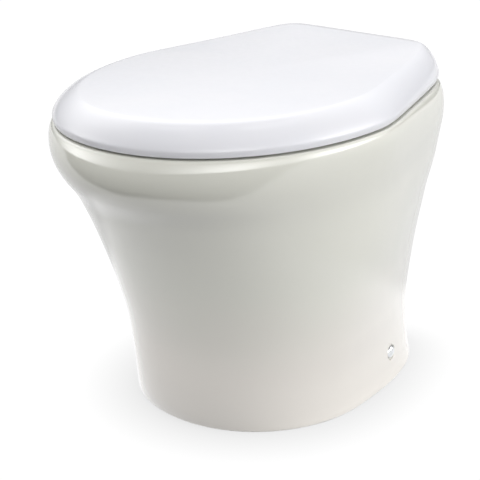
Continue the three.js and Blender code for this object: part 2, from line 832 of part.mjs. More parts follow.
function makeSeat() {
  const rings = seatRiseShares.map((share) => {
    const soft = 1 - Math.sqrt(1 - share ** 2);
    return ringAt(
      inset(seatForm, seatEdgeInset * soft), seatQuarterSteps, seatBase + seatThickness * share,
    );
  });
  const half = seatOpeningLength / 2;
  const opening = {
    ...circleForm(seatOpeningHalfWidth, seatOpeningPlace),
    front: seatOpeningPlace - half,
    rear: seatOpeningPlace + half,
  };
  const hole = [
    ringAt(opening, seatQuarterSteps, seatBase - cutOverrun),
    ringAt(opening, seatQuarterSteps, seatTop - seatOpeningRound),
    ringAt(inset(opening, -seatOpeningRound * 0.3), seatQuarterSteps, seatTop - seatOpeningRound / 3),
    ringAt(inset(opening, -seatOpeningRound), seatQuarterSteps, seatTop),
    ringAt(inset(opening, -seatOpeningRound), seatQuarterSteps, seatTop + cutOverrun),
  ];
  const profile = new THREE.Shape();
  const start = seatRearReach - seatEdgeInset;
  profile.moveTo(start, hingeHeight - hingeBarrelRadius);
  profile.absarc(hingePlace, hingeHeight, hingeBarrelRadius, -Math.PI / 2, Math.PI / 2);
  profile.lineTo(start, seatTop - fitClearance);
  const reach = hingePostInside - hingeSideGap;
  const hingeBlock = slabAlongX(profile, -reach, reach);
  const depth = reach - hingePinReach - 2 * fitClearance;
  const bores = [pinHole(-reach - cutOverrun, -depth), pinHole(depth, reach + cutOverrun)];
  return cut(join(loft(rings), hingeBlock), loft(hole), ...bores);
}

const seatGroup = new THREE.Group();
toilet.add(seatGroup);
add("seat", makeSeat(), whitePlastic, [0, 0, 0], seatGroup);

sides.forEach(([name, side]) => {
  const height = seatBumperHeight - 2 * fitClearance;
  const foot = [[0, 0], [seatBumperRadius * 0.85, 0], [seatBumperRadius, height / 3]];
  const bumper = turned([...foot, [seatBumperRadius, height], [0, height]], smallSides);
  const base = ceramicHeight + fitClearance;
  add(
    "seat_bumper_front_" + name,
    bumper,
    rubber,
    [side * frontBumperSide, frontBumperPlace, base],
    seatGroup,
  );
  add(
    "seat_bumper_rear_" + name, bumper, rubber, [side * rearBumperSide, rearBumperPlace, base], seatGroup,
  );
});

// Hinge posts, pins, bolts, cone washers and wing nuts
function makeHingePost(side) {
  const base = ceramicHeight + fitClearance;
  const padFront = hingeBoltPlace - hingePadLength / 2;
  const padRear = hingeBoltPlace + hingePadLength / 2;
  const arm = new THREE.Shape();
  arm.moveTo(padFront + hingePadHeight, base);
  arm.lineTo(padRear, base);
  arm.absarc(hingePlace, hingeHeight, hingeBarrelRadius, -Math.PI / 4, (2 * Math.PI) / 3);
  arm.lineTo(padFront + hingePadHeight, base + hingePadHeight);
  const pad = new THREE.Shape();
  const reach = hingePadLength / 2;
  const wide = hingePadWidth / 2;
  pad.absellipse(0, 0, wide, reach, 0, 2 * Math.PI, false, 0);
  const padSolid = new THREE.ExtrudeGeometry(
    pad, { depth: hingePadHeight, bevelEnabled: false, curveSegments: smallSides },
  );
  padSolid.translate(side * hingeBoltSide, hingeBoltPlace, base);
  const near = side * hingePostInside;
  const far = side * (hingePostInside + hingePostWidth);
  const post = join(slabAlongX(arm, Math.min(near, far), Math.max(near, far)), padSolid);
  const bolt = rod(hingeBoltRadius + fitClearance, base - cutOverrun, base + hingePadHeight, smallSides);
  const seat = base + hingePadHeight - hingeBoltHeadHeight - 2 * fitClearance;
  const recess = rod(hingeBoltHeadRadius + fitClearance, seat, base + 2 * hingePadHeight, mediumSides);
  bolt.translate(side * hingeBoltSide, hingeBoltPlace, 0);
  recess.translate(side * hingeBoltSide, hingeBoltPlace, 0);
  const reachX = hingePostInside + hingePostWidth + cutOverrun;
  return cut(post, bolt, recess, pinHole(-reachX, reachX));
}

function makeWingNut() {
  const wings = new THREE.Shape();
  wings.moveTo(-wingNutRadius, 0);
  wings.lineTo(wingNutRadius, 0);
  wings.quadraticCurveTo(wingSpan, -wingNutHeight / 2, wingSpan, -wingNutHeight * 1.6);
  wings.lineTo(wingNutRadius, -wingNutHeight);
  wings.lineTo(-wingNutRadius, -wingNutHeight);
  wings.lineTo(-wingSpan, -wingNutHeight * 1.6);
  wings.quadraticCurveTo(-wingSpan, -wingNutHeight / 2, -wingNutRadius, 0);
  const blade = slabAlongY(wings, -wingThickness / 2, wingThickness / 2);
  const hub = turned(
    [[0, -wingNutHeight], [wingNutRadius * 0.8, -wingNutHeight], [wingNutRadius, 0], [0, 0]], smallSides,
  );
  const bore = rod(hingeBoltRadius + fitClearance, -2 * wingNutHeight, cutOverrun, smallSides);
  return cut(join(hub, blade), bore);
}

sides.forEach(([name, side]) => {
  add("hinge_post_" + name, makeHingePost(side), palePlastic);
  const inside = hingePostInside - hingeSideGap - hingePinReach;
  const pin = rodAlongX(hingePinRadius, 0, lugInside + hingeLugWidth - inside, smallSides);
  const pinStart = side < 0 ? -(lugInside + hingeLugWidth) : inside;
  add("hinge_pin_" + name, pin, steel, [pinStart, hingePlace, hingeHeight]);

  const headTop = ceramicHeight + hingePadHeight - fitClearance;
  const headBase = headTop - hingeBoltHeadHeight;
  const tip = headTop - hingeBoltLength;
  const bolt = turned(
    [[0, tip], [hingeBoltRadius, tip], [hingeBoltRadius, headBase], [hingeBoltHeadRadius, headBase],
      [hingeBoltHeadRadius, headTop - fitClearance], [hingeBoltHeadRadius - fitClearance, headTop],
      [0, headTop]],
    mediumSides,
  );
  add("hinge_bolt_" + name, bolt, steel, [side * hingeBoltSide, hingeBoltPlace, 0]);

  const bore = hingeBoltRadius + fitClearance;
  const neck = hingeHoleRadius - fitClearance * 1.5;
  const washerTop = deckUnderside - fitClearance;
  const washerBase = washerTop - coneWasherHeight;
  const washer = turned(
    [[bore, washerBase], [coneWasherRadius, washerBase],
      [coneWasherRadius, washerBase + coneWasherHeight / 3],
      [(coneWasherRadius + neck) / 2, washerTop], [neck, washerTop],
      [neck, washerTop + coneWasherHeight / 2],
      [bore, washerTop + coneWasherHeight / 2], [bore, washerBase]],
    mediumSides,
  );
  add("hinge_washer_" + name, washer, rubber, [side * hingeBoltSide, hingeBoltPlace, 0]);

  const bracket = side < 0 ? valveBracketThickness + fitClearance : 0;
  const nutTop = washerBase - fitClearance - bracket;
  const nut = makeWingNut().rotateZ(-side * wingTurn);
  add("hinge_wing_nut_" + name, nut, blackPlastic, [side * hingeBoltSide, hingeBoltPlace, nutTop]);
});

// Floor brackets, side bolts and bushes
function makeFloorBracket() {
  const angle = new THREE.Shape();
  angle.moveTo(bracketFace, 0);
  angle.lineTo(bracketFace, bracketHeight);
  angle.lineTo(bracketFace - bracketThickness, bracketHeight);
  angle.absarc(
    bracketFace - 2 * bracketThickness, 2 * bracketThickness, bracketThickness, 0, -Math.PI / 2, true,
  );
  angle.lineTo(bracketFace - bracketFoot, bracketThickness);
  angle.lineTo(bracketFace - bracketFoot, 0);
  const gusset = new THREE.Shape();
  gusset.moveTo(bracketFace - bracketThickness / 2, bracketThickness / 2);
  gusset.lineTo(bracketFace - bracketThickness / 2, bracketHeight * 0.85);
  gusset.lineTo(bracketFace - bracketFoot * 0.85, bracketThickness / 2);
  const reach = bracketLength / 2;
  const nearWeb = slabAlongY(gusset, sideBoltPlace - reach, sideBoltPlace - reach + bracketGussetThickness);
  const farWeb = slabAlongY(gusset, sideBoltPlace + reach - bracketGussetThickness, sideBoltPlace + reach);
  const nutStart = bracketFace - bracketThickness - bracketNutHeight;
  const nut = rodAlongX(bracketNutRadius, nutStart, bracketFace - bracketThickness / 2, 6);
  const hole = rodAlongX(
    sideBoltRadius + fitClearance, nutStart - cutOverrun, bracketFace + cutOverrun, smallSides,
  );
  const screwHole = rod(
    floorScrewRadius + fitClearance, -cutOverrun, bracketThickness + cutOverrun, smallSides,
  );
  const body = join(
    slabAlongY(angle, sideBoltPlace - reach, sideBoltPlace + reach),
    nearWeb,
    farWeb,
    nut.translate(0, sideBoltPlace, sideBoltHeight),
  );
  return cut(
    body,
    hole.translate(0, sideBoltPlace, sideBoltHeight),
    screwHole.translate(bracketFace - floorScrewInset, sideBoltPlace, 0),
  );
}

// The same piece on the other side of the middle.
function mirrored(geometry) {
  const flipped = geometry.clone().scale(-1, 1, 1);
  const order = flipped.index.array;
  for (let i = 0; i < order.length; i += 3) {
    const second = order[i + 1];
    order[i + 1] = order[i + 2];
    order[i + 2] = second;
  }
  return flipped;
}

function makeSideBolt() {
  const headBase = sideBoltReach - sideBoltHeadHeight;
  const tip = headBase - sideBoltLength;
  const dome = [0.25, 0.5, 0.75].map((share) => {
    const angle = (share * Math.PI) / 2;
    const height = sideBoltHeadHeight * 0.7 * Math.sin(angle);
    return [sideBoltHeadRadius * Math.cos(angle), headBase + sideBoltHeadHeight * 0.3 + height];
  });
  const head = [[sideBoltHeadRadius, headBase], [sideBoltHeadRadius, headBase + sideBoltHeadHeight * 0.3]];
  const shank = [[0, tip], [sideBoltRadius, tip], [sideBoltRadius, headBase]];
  return turnedAlongX([...shank, ...head, ...dome, [0, sideBoltReach]], mediumSides);
}

function makeSideBush() {
  const flangeFace = bracketFace + fitClearance;
  const seat = sideBoltReach - sideBoltHeadHeight - fitClearance;
  const bore = sideBoltRadius + fitClearance;
  const cup = sideBoltHeadRadius + fitClearance;
  return turnedAlongX(
    [[bore, flangeFace], [sideBushFlangeRadius, flangeFace],
      [sideBushFlangeRadius, flangeFace + sideBushFlangeHeight],
      [sideBushRadius, flangeFace + sideBushFlangeHeight], [sideBushRadius, sideBushReach],
      [cup, sideBushReach],
      [cup, seat], [bore, seat], [bore, flangeFace]],
    mediumSides,
  );
}

const floorBracket = makeFloorBracket();
const sideBolt = geometryOf(solidOf(makeSideBolt()));
const sideBush = geometryOf(solidOf(makeSideBush()));
sides.forEach(([name, side]) => {
  const placed = (geometry) => (side < 0 ? mirrored(geometry) : geometry);
  add("floor_bracket_" + name, placed(floorBracket), steel);
  add("side_bolt_" + name, placed(sideBolt), chrome, [0, sideBoltPlace, sideBoltHeight]);
  add("side_bush_" + name, placed(sideBush), palePlastic, [0, sideBoltPlace, sideBoltHeight]);
  const headBase = bracketThickness + fitClearance;
  const headTop = headBase + floorScrewHeadHeight;
  const screw = turned(
    [[0, 0], [floorScrewRadius, 0], [floorScrewRadius, headBase], [floorScrewHeadRadius, headBase],
      [floorScrewHeadRadius * 0.85, headTop - floorScrewHeadHeight / 3],
      [floorScrewHeadRadius / 2, headTop], [0, headTop]],
    smallSides,
  );
  add("floor_screw_" + name, screw, steel, [side * (bracketFace - floorScrewInset), sideBoltPlace, 0]);
});

// Outlet boot from the bowl's spud to the pump's inlet neck
const bootUpperRadius = spudRadius + bootFit + bootWall;
const bootLowerRadius = inletNeckRadius + bootFit + bootWall;
const bootBend = spudBase - fitClearance - pumpAxisHeight;
const bootRoute = new THREE.CurvePath();
const bootStart = new THREE.Vector3(0, outletPlace, spudBase - fitClearance);
const bootCorner = new THREE.Vector3(0, outletPlace, pumpAxisHeight);
const bootTurned = new THREE.Vector3(0, outletPlace + bootBend, pumpAxisHeight);
bootRoute.add(new THREE.QuadraticBezierCurve3(bootStart, bootCorner, bootTurned));

function makeBoot() {
  const shoulder = spudBase - fitClearance - bootWall;
  const upper = rod(bootUpperRadius, shoulder, bootTop, largeSides).translate(0, outletPlace, 0);
  const bend = bar(bootRoute, bootBore + bootWall, bendSteps, mediumSides);
  const neck = rodAlongY(bootBore + bootWall, bootTurned.y - bootWall / 2, inletNeckStart, mediumSides);
  const lower = rodAlongY(bootLowerRadius, inletNeckStart - bootWall, bootSleeveEnd, largeSides);
  const upperBore = rod(spudRadius + bootFit, spudBase - fitClearance, bootTop + cutOverrun, largeSides);
  const shoulderBore = rod(
    bootBore, shoulder - cutOverrun, bootTop, mediumSides,
  ).translate(0, outletPlace, 0);
  const bendBore = bar(bootRoute, bootBore, bendSteps, mediumSides);
  const neckBore = rodAlongY(bootBore, bootTurned.y - bootWall, inletNeckStart + cutOverrun, mediumSides);
  const lowerStart = inletNeckStart - fitClearance;
  const lowerBore = rodAlongY(
    inletNeckRadius + bootFit, lowerStart, bootSleeveEnd + cutOverrun, largeSides,
  );
  const pumpLine = [neck, lower].map((piece) => piece.translate(0, 0, pumpAxisHeight));
  const pumpBores = [neckBore, lowerBore].map((piece) => piece.translate(0, 0, pumpAxisHeight));
  const body = join(upper, bend, ...pumpLine);
  return cut(body, upperBore.translate(0, outletPlace, 0), shoulderBore, bendBore, ...pumpBores);
}

// A worm-drive clamp: a band round the Z axis with its screw housing.
function makeClamp(radius, width) {
  const inner = radius + fitClearance;
  const outer = inner + clampThickness;
  const band = turned([[inner, 0], [outer, 0], [outer, width], [inner, width], [inner, 0]], largeSides);
  const housing = block(
    [-clampScrewLength / 2, outer - clampThickness / 2, width / 8],
    [clampScrewLength / 2, outer + clampScrewHeight, width * 0.875],
  );
  return join(band, housing);
}

add("outlet_boot", makeBoot(), rubber);
const upperClamp = makeClamp(bootUpperRadius, clampWidth).rotateZ(Math.PI);
add("boot_clamp_upper", upperClamp, steel, [0, outletPlace, (spudBase + bootTop - clampWidth) / 2]);
const lowerClamp = makeClamp(bootLowerRadius, clampWidth).rotateX(-Math.PI / 2).rotateY(Math.PI / 2);
add(
  "boot_clamp_lower",
  lowerClamp,
  steel,
  [0, (inletNeckStart + bootSleeveEnd - clampWidth) / 2, pumpAxisHeight],
);

// Macerator pump, built on its shaft axis along Y
const pump = new THREE.Group();
pump.position.z = pumpAxisHeight;
toilet.add(pump);
const chamberRadius = voluteRadius - voluteWall;

function makeVolute() {
  const bore = bootBore;
  const chamberFront = voluteFront + voluteWall;
  const cup = turnedAlongY(
    [[bore, inletNeckStart], [inletNeckRadius, inletNeckStart], [inletNeckRadius, voluteFront],
      [voluteRadius - voluteWall / 2, voluteFront], [voluteRadius, voluteFront + voluteWall / 2],
      [voluteRadius, voluteRear], [chamberRadius, voluteRear], [chamberRadius, chamberFront],
      [bore, chamberFront],
      [bore, inletNeckStart]],
    largeSides,
  );
  const port = rod(
    portRadius, voluteRadius - voluteWall, portHeight, mediumSides,
  ).translate(0, portPlace, 0);
  const portHole = rod(
    portBore, chamberRadius * 0.8, portHeight + cutOverrun, mediumSides,
  ).translate(0, portPlace, 0);
  const ears = [1, 3, 5, 7].map((eighth) => {
    const angle = (eighth * Math.PI) / 4;
    const ear = rodAlongY(voluteEarRadius, voluteFront + voluteWall, voluteRear, smallSides);
    return ear.translate(voluteRadius * Math.cos(angle), 0, voluteRadius * Math.sin(angle));
  });
  const chamber = rodAlongY(chamberRadius, chamberFront, voluteRear + cutOverrun, largeSides);
  return cut(join(cup, port, ...ears), portHole, chamber);
}

function makeBackPlate() {
  const bore = shaftRadius + fitClearance;
  const recess = sealRadius + fitClearance;
  const front = backPlateFront;
  const rear = front + backPlateLength;
  const plate = turnedAlongY(
    [[bore, front + sealLength + fitClearance], [recess, front + sealLength + fitClearance],
      [recess, front],
      [voluteRadius, front], [voluteRadius, rear], [bore, rear], [bore, front + sealLength + fitClearance]],
    largeSides,
  );
  const ears = [1, 3, 5, 7].map((eighth) => {
    const angle = (eighth * Math.PI) / 4;
    const ear = rodAlongY(voluteEarRadius, front, front + backPlateLength * 0.6, smallSides);
    return ear.translate(voluteRadius * Math.cos(angle), 0, voluteRadius * Math.sin(angle));
  });
  return join(plate, ...ears);
}

function makeCutterPlate() {
  const outer = chamberRadius - fitClearance;
  const slots = [0, 1, 2, 3, 4, 5].map((sixth) => {
    const slot = block(
      [cutterHoleRadius - cutOverrun, -cutOverrun, -cutterSlotWidth / 2],
      [chamberRadius * 0.82, cutterThickness + cutOverrun, cutterSlotWidth / 2],
    );
    return slot.rotateY((sixth * Math.PI) / 3);
  });
  const rear = cutterThickness;
  const plate = [
    [cutterHoleRadius, 0], [outer, 0], [outer, rear], [cutterHoleRadius, rear], [cutterHoleRadius, 0],
  ];
  return cut(turnedAlongY(plate, largeSides), ...slots);
}

function makeBlade() {
  const arms = new THREE.Shape();
  const slope = bladeWidth / 2;
  arms.moveTo(-bladeReach, -slope);
  arms.lineTo(0, -bladeHubRadius);
  arms.lineTo(bladeReach, -slope / 2);
  arms.lineTo(bladeReach, slope);
  arms.lineTo(0, bladeHubRadius);
  arms.lineTo(-bladeReach, slope / 2);
  const hole = rodAlongY(shaftRadius + fitClearance, -cutOverrun, bladeThickness + cutOverrun, smallSides);
  return cut(slabAlongY(arms, 0, bladeThickness), hole);
}

function makeImpeller() {
  const total = impellerPlateThickness + impellerVaneHeight;
  const plate = rodAlongY(impellerRadius, impellerVaneHeight, total, largeSides);
  const hub = rodAlongY(impellerHubRadius, 0, total, smallSides);
  const vaneArc = impellerRadius * 0.62;
  const vanes = [0, 1, 2, 3, 4].map((fifth) => {
    const vane = new THREE.Shape();
    vane.absarc(vaneArc, 0, vaneArc, Math.PI, Math.PI * 0.42, true);
    vane.absarc(vaneArc, 0, vaneArc - impellerVaneThickness, Math.PI * 0.42, Math.PI, false);
    const solid = slabAlongY(
      vane, impellerVaneThickness / 4, impellerVaneHeight + impellerPlateThickness / 2,
    );
    return solid.rotateY((fifth * 2 * Math.PI) / 5);
  });
  const rim = rodAlongY(impellerRadius, 0, total, largeSides);
  const trimmed = vanes.map((vane) => within(vane, rim));
  const hole = rodAlongY(shaftRadius + fitClearance, -cutOverrun, total + cutOverrun, smallSides);
  return cut(join(plate, hub, ...trimmed), hole);
}

function makeMotorCan() {
  const edge = motorRolledEdge;
  const bore = shaftRadius + fitClearance;
  const boreEnd = shaftRear + fitClearance;
  return turnedAlongY(
    [[0, boreEnd], [bore, boreEnd], [bore, motorFront], [motorRadius - edge, motorFront],
      [motorRadius, motorFront + edge], [motorRadius, motorRear - edge], [motorRadius - edge, motorRear],
      [0, motorRear]],
    largeSides,
  );
}

function makeEndCap() {
  const front = motorRear + fitClearance;
  const rear = front + endCapLength;
  const cap = turnedAlongY(
    [[0, front], [motorRadius, front], [motorRadius, rear - endCapLength / 3], [motorRadius * 0.86, rear],
      [endCapBossRadius, rear], [endCapBossRadius * 0.85, rear + endCapBossLength],
      [0, rear + endCapBossLength]],
    largeSides,
  );
  const vents = [1, 3, 5, 7, 9, 11].map((twelfth) => {
    const vent = block(
      [motorRadius * 0.55, rear - endCapLength / 4, -cutterSlotWidth / 2],
      [motorRadius * 0.75, rear + cutOverrun, cutterSlotWidth / 2],
    );
    return vent.rotateY((twelfth * Math.PI) / 6);
  });
  return cut(cap, ...vents);
}

function makeCradle() {
  const base = cradleBase - pumpAxisHeight;
  const top = base + cradlePlateThickness;
  const saddle = new THREE.Shape();
  const radius = motorRadius + fitClearance;
  const angle = Math.asin(cradleSaddleHalfWidth / radius);
  const lift = -radius * Math.cos(angle);
  saddle.moveTo(-cradlePlateHalfWidth, base);
  saddle.lineTo(cradlePlateHalfWidth, base);
  saddle.lineTo(cradlePlateHalfWidth, top);
  saddle.lineTo(cradleSaddleHalfWidth + cradlePlateThickness, top);
  saddle.lineTo(cradleSaddleHalfWidth, lift);
  saddle.absarc(0, 0, radius, angle - Math.PI / 2, -angle - Math.PI / 2, true);
  saddle.lineTo(-cradleSaddleHalfWidth - cradlePlateThickness, top);
  saddle.lineTo(-cradlePlateHalfWidth, top);
  const start = motorFront + cradleInset;
  return slabAlongY(saddle, start, start + cradleLength);
}

function makeStrap() {
  const inner = motorRadius + fitClearance;
  const outer = inner + strapThickness;
  const top = cradleBase + cradlePlateThickness + fitClearance - pumpAxisHeight;
  const strap = new THREE.Shape();
  strap.moveTo(outer + strapEar, top);
  strap.lineTo(outer + strapEar, top + strapThickness);
  strap.lineTo(outer, top + strapThickness);
  strap.absarc(0, 0, outer, 0, Math.PI);
  strap.lineTo(-outer, top + strapThickness);
  strap.lineTo(-outer - strapEar, top + strapThickness);
  strap.lineTo(-outer - strapEar, top);
  strap.lineTo(-inner, top);
  strap.absarc(0, 0, inner, Math.PI, 0, true);
  strap.lineTo(inner, top);
  const middle = motorFront + cradleInset + cradleLength / 2;
  return slabAlongY(strap, middle - strapWidth / 2, middle + strapWidth / 2);
}

const cutterFront = voluteFront + voluteWall + fitClearance;
const bladeFront = cutterFront + cutterThickness + bladeRunningGap;
const impellerFront = bladeFront + bladeThickness + impellerRunningGap;
add("pump_volute", makeVolute(), blackPlastic, [0, 0, 0], pump);
add("cutter_plate", makeCutterPlate(), steel, [0, cutterFront, 0], pump);
const rotor = new THREE.Group();
pump.add(rotor);
add("chopper_blade", makeBlade(), steel, [0, bladeFront, 0], rotor);
add("impeller", makeImpeller(), blackPlastic, [0, impellerFront, 0], rotor);
add("rotor_shaft", rodAlongY(shaftRadius, shaftFront, shaftRear, smallSides), steel, [0, 0, 0], rotor);
const sealBore = shaftRadius + fitClearance;
const sealRing = [
  [sealBore, 0], [sealRadius, 0], [sealRadius, sealLength], [sealBore, sealLength], [sealBore, 0],
];
add("shaft_seal", turnedAlongY(sealRing, smallSides), rubber, [0, backPlateFront, 0], pump);
add("pump_back_plate", makeBackPlate(), paintedMetal, [0, 0, 0], pump);
add("motor_can", makeMotorCan(), paintedMetal, [0, 0, 0], pump);
add("motor_end_cap", makeEndCap(), blackPlastic, [0, 0, 0], pump);
add("pump_cradle", makeCradle(), paintedMetal, [0, 0, 0], pump);
add("motor_strap", makeStrap(), steel, [0, 0, 0], pump);
sides.forEach(([name, side]) => {
  const rail = new THREE.Shape();
  const half = cradleFootRadius;
  rail.moveTo(-half, 0);
  rail.lineTo(half, 0);
  rail.lineTo(half * 0.75, cradleFootHeight);
  rail.lineTo(-half * 0.75, cradleFootHeight);
  const foot = slabAlongY(rail, motorFront + cradleInset, motorFront + cradleInset + cradleLength);
  add(
    "pump_foot_" + name,
    foot,
    rubber,
    [side * (cradlePlateHalfWidth - cradleFootInset), 0, -pumpAxisHeight],
    pump,
  );
});

// Discharge elbow, union nut, duckbill valve and hose tail
function makeElbow() {
  const socket = portRadius + fitClearance;
  const outer = elbowBore + elbowWall;
  const corner = new THREE.Vector3(0, portPlace, dischargeHeight);
  const start = new THREE.Vector3(0, portPlace, elbowBase + elbowRise);
  const end = new THREE.Vector3(0, portPlace + elbowBend, dischargeHeight);
  const bend = new THREE.QuadraticBezierCurve3(start, corner, end);
  const cupBase = elbowBase - elbowSocketLength;
  const cup = rod(socket + elbowWall, cupBase, elbowBase + elbowWall, mediumSides);
  const riser = rod(outer, elbowBase, elbowBase + elbowRise, mediumSides);
  const run = rodAlongY(outer, end.y, elbowEnd, mediumSides).translate(0, 0, dischargeHeight);
  const flange = rodAlongY(dischargeFlangeRadius, elbowEnd - dischargeFlangeLength, elbowEnd, mediumSides);
  const cupBore = rod(socket, cupBase - cutOverrun, elbowBase, mediumSides);
  const riserBore = rod(
    elbowBore, elbowBase - cutOverrun, elbowBase + elbowRise + weldDistance, mediumSides,
  );
  const runBore = rodAlongY(elbowBore, end.y - weldDistance, elbowEnd + cutOverrun, mediumSides);
  const body = join(
    cup.translate(0, portPlace, 0),
    riser.translate(0, portPlace, 0),
    bar(bend, outer, bendSteps, mediumSides),
    run,
    flange.translate(0, 0, dischargeHeight),
  );
  return cut(
    body,
    cupBore.translate(0, portPlace, 0),
    riserBore.translate(0, portPlace, 0),
    bar(bend, elbowBore, bendSteps, mediumSides),
    runBore.translate(0, 0, dischargeHeight),
  );
}

function makeUnionNut() {
  const bore = dischargeFlangeRadius + fitClearance;
  const lipBore = elbowBore + elbowWall + fitClearance;
  const start = elbowEnd - dischargeFlangeLength - fitClearance - unionNutLip;
  const end = tailFront + dischargeFlangeLength + unionNutOverlap;
  const ring = turnedAlongY(
    [[lipBore, start], [unionNutRadius - unionNutLip / 2, start], [unionNutRadius, start + unionNutLip / 2],
      [unionNutRadius, end], [bore, end], [bore, start + unionNutLip], [lipBore, start + unionNutLip],
      [lipBore, start]],
    largeSides,
  );
  const grips = [0, 1, 2, 3, 4, 5, 6, 7].map((eighth) => {
    const grip = block(
      [-unionNutLip / 2, start + unionNutLip, unionNutRadius - 1.5 * fitClearance],
      [unionNutLip / 2, end - unionNutLip / 2, unionNutRadius + unionNutLip / 2],
    );
    return grip.rotateY((eighth * Math.PI) / 4);
  });
  return join(ring, ...grips);
}

function makeDuckbill() {
  const slitForm = (halfWidth, halfHeight) => {
    return { ...circleForm(halfWidth, 0), front: -halfHeight, rear: halfHeight };
  };
  const skin = (radius, halfHeight, start, end, steps) => {
    const shares = [0, 0.35, 0.7, 1];
    const rings = shares.map((share) => {
      const closing = radius + (halfHeight - radius) * share ** 1.2;
      return ringAt(slitForm(radius, closing), steps, start + (end - start) * share);
    });
    return loft(rings).rotateX(-Math.PI / 2);
  };
  const length = duckbillFlangeLength + duckbillLength;
  const bill = skin(duckbillRadius, duckbillWall + duckbillSlit / 2, 0, length, 4);
  const inside = skin(duckbillRadius - duckbillWall, duckbillSlit / 2, -cutOverrun, length + cutOverrun, 4);
  const flange = rodAlongY(dischargeFlangeRadius, 0, duckbillFlangeLength, mediumSides);
  return cut(join(bill, flange), inside);
}

function makeHoseTail() {
  const flangeEnd = tailFront + dischargeFlangeLength;
  const barbs = [3, 2, 1].flatMap((n) => {
    const start = tailEnd - n * tailBarbPitch;
    return [[tailRadius, start], [tailBarbRadius, start], [tailRadius, start + tailBarbPitch * 0.8]];
  });
  return turnedAlongY(
    [[tailBore, tailFront], [dischargeFlangeRadius, tailFront], [dischargeFlangeRadius, flangeEnd],
      [tailRadius, flangeEnd], ...barbs, [tailRadius, tailEnd], [tailBore, tailEnd], [tailBore, tailFront]],
    mediumSides,
  );
}

add("discharge_elbow", makeElbow(), blackPlastic);
const discharge = new THREE.Group();
discharge.position.z = dischargeHeight;
toilet.add(discharge);
add("union_nut", makeUnionNut(), blackPlastic, [0, 0, 0], discharge);
add("duckbill_valve", makeDuckbill(), rubber, [0, duckbillFront, 0], discharge);
add("hose_tail", makeHoseTail(), blackPlastic, [0, 0, 0], discharge);

// Water valve, with its coil, plunger, spring and inlet strainer
const valve = new THREE.Group();
valve.position.set(valveSide, 0, valveHeight);
toilet.add(valve);
const guideTop = valveHalfHeight + guideRise;
const plungerBase = plungerSeatRise + fitClearance;

function makeValveBody() {
  const body = block(
    [-valveHalfWidth, valveFront, -valveHalfHeight], [valveHalfWidth, valveRear, valveHalfHeight],
  );
  const boss = block(
    [-valveBossReach, valveFront + valveBossReach, -valveHalfHeight / 2],
    [0, valveRear - valveHalfHeight / 2, valveHalfHeight / 2],
  );
  const inlet = rodAlongY(inletThreadRadius, valveRear - cutOverrun, inletThreadEnd, mediumSides);
  const guide = rod(guideRadius, 0, guideTop, mediumSides).translate(0, coilPlace, 0);
  const barbTop = valveHalfHeight + barbLength;
  const barb = turned(
    [[0, 0], [barbRadius * 0.85, 0], [barbRadius * 0.85, barbTop - barbLength / 3],
      [barbRadius, barbTop - barbLength / 3],
      [barbRadius * 0.85, barbTop], [0, barbTop]],
    smallSides,
  );
  const through = rodAlongY(valveBore, outletBarbPlace - valveBore, valveRear + cutOverrun, smallSides);
  const inletBore = rodAlongY(inletThreadBore, valveRear, inletThreadEnd + cutOverrun, smallSides);
  const seatHole = rod(barbBore, 0, plungerSeatRise + cutOverrun, smallSides).translate(0, coilPlace, 0);
  const chamber = rod(
    guideBore, plungerSeatRise, guideTop - cutOverrun, mediumSides,
  ).translate(0, coilPlace, 0);
  const barbHole = rod(barbBore, 0, barbTop + cutOverrun, smallSides).translate(0, outletBarbPlace, 0);
  return cut(
    join(body, boss, inlet, guide, barb.translate(0, outletBarbPlace, 0)),
    through,
    inletBore,
    seatHole,
    chamber,
    barbHole,
  );
}

function makeCoil() {
  const base = valveHalfHeight + coilLift;
  const top = base + coilHeight;
  const bore = guideRadius + fitClearance;
  const edge = coilRadius * 0.9;
  return turned(
    [[bore, base], [edge, base], [coilRadius, base + coilLift / 2], [coilRadius, top - coilLift / 2],
      [edge, top],
      [bore, top], [bore, base]],
    mediumSides,
  );
}

function makeSpring() {
  const low = plungerBase + plungerLength + springWire + fitClearance;
  const high = guideTop - cutOverrun - springWire - fitClearance;
  class Helix extends THREE.Curve {
    getPoint(t, target = new THREE.Vector3()) {
      const angle = 2 * Math.PI * springTurns * t;
      const radius = springRadius;
      return target.set(radius * Math.cos(angle), radius * Math.sin(angle), low + (high - low) * t);
    }
  }
  const wire = new THREE.Shape().absarc(0, 0, springWire, 0, 2 * Math.PI);
  const options = { extrudePath: new Helix(), steps: springTurns * springSteps, curveSegments: 3 };
  return new THREE.ExtrudeGeometry(wire, options);
}

function makeStrainer() {
  const end = inletThreadEnd - fitClearance;
  const start = end - strainerLength;
  const outer = inletThreadBore - fitClearance * 1.5;
  const inner = outer - strainerWall;
  return turnedAlongY(
    [[0, start], [outer / 2, start], [outer, end - strainerWall], [outer, end], [inner, end],
      [outer / 2 - strainerWall / 2, start + strainerWall], [0, start + strainerWall]],
    smallSides,
  );
}

add("water_valve_body", makeValveBody(), palePlastic, [0, 0, 0], valve);
add("valve_coil", makeCoil(), blackPlastic, [0, coilPlace, 0], valve);
const plungerTop = plungerBase + plungerLength;
add(
  "valve_plunger", rod(plungerRadius, plungerBase, plungerTop, smallSides), steel, [0, coilPlace, 0], valve,
);
add("valve_spring", makeSpring(), steel, [0, coilPlace, 0], valve);
add("inlet_strainer", makeStrainer(), brass, [0, 0, 0], valve);

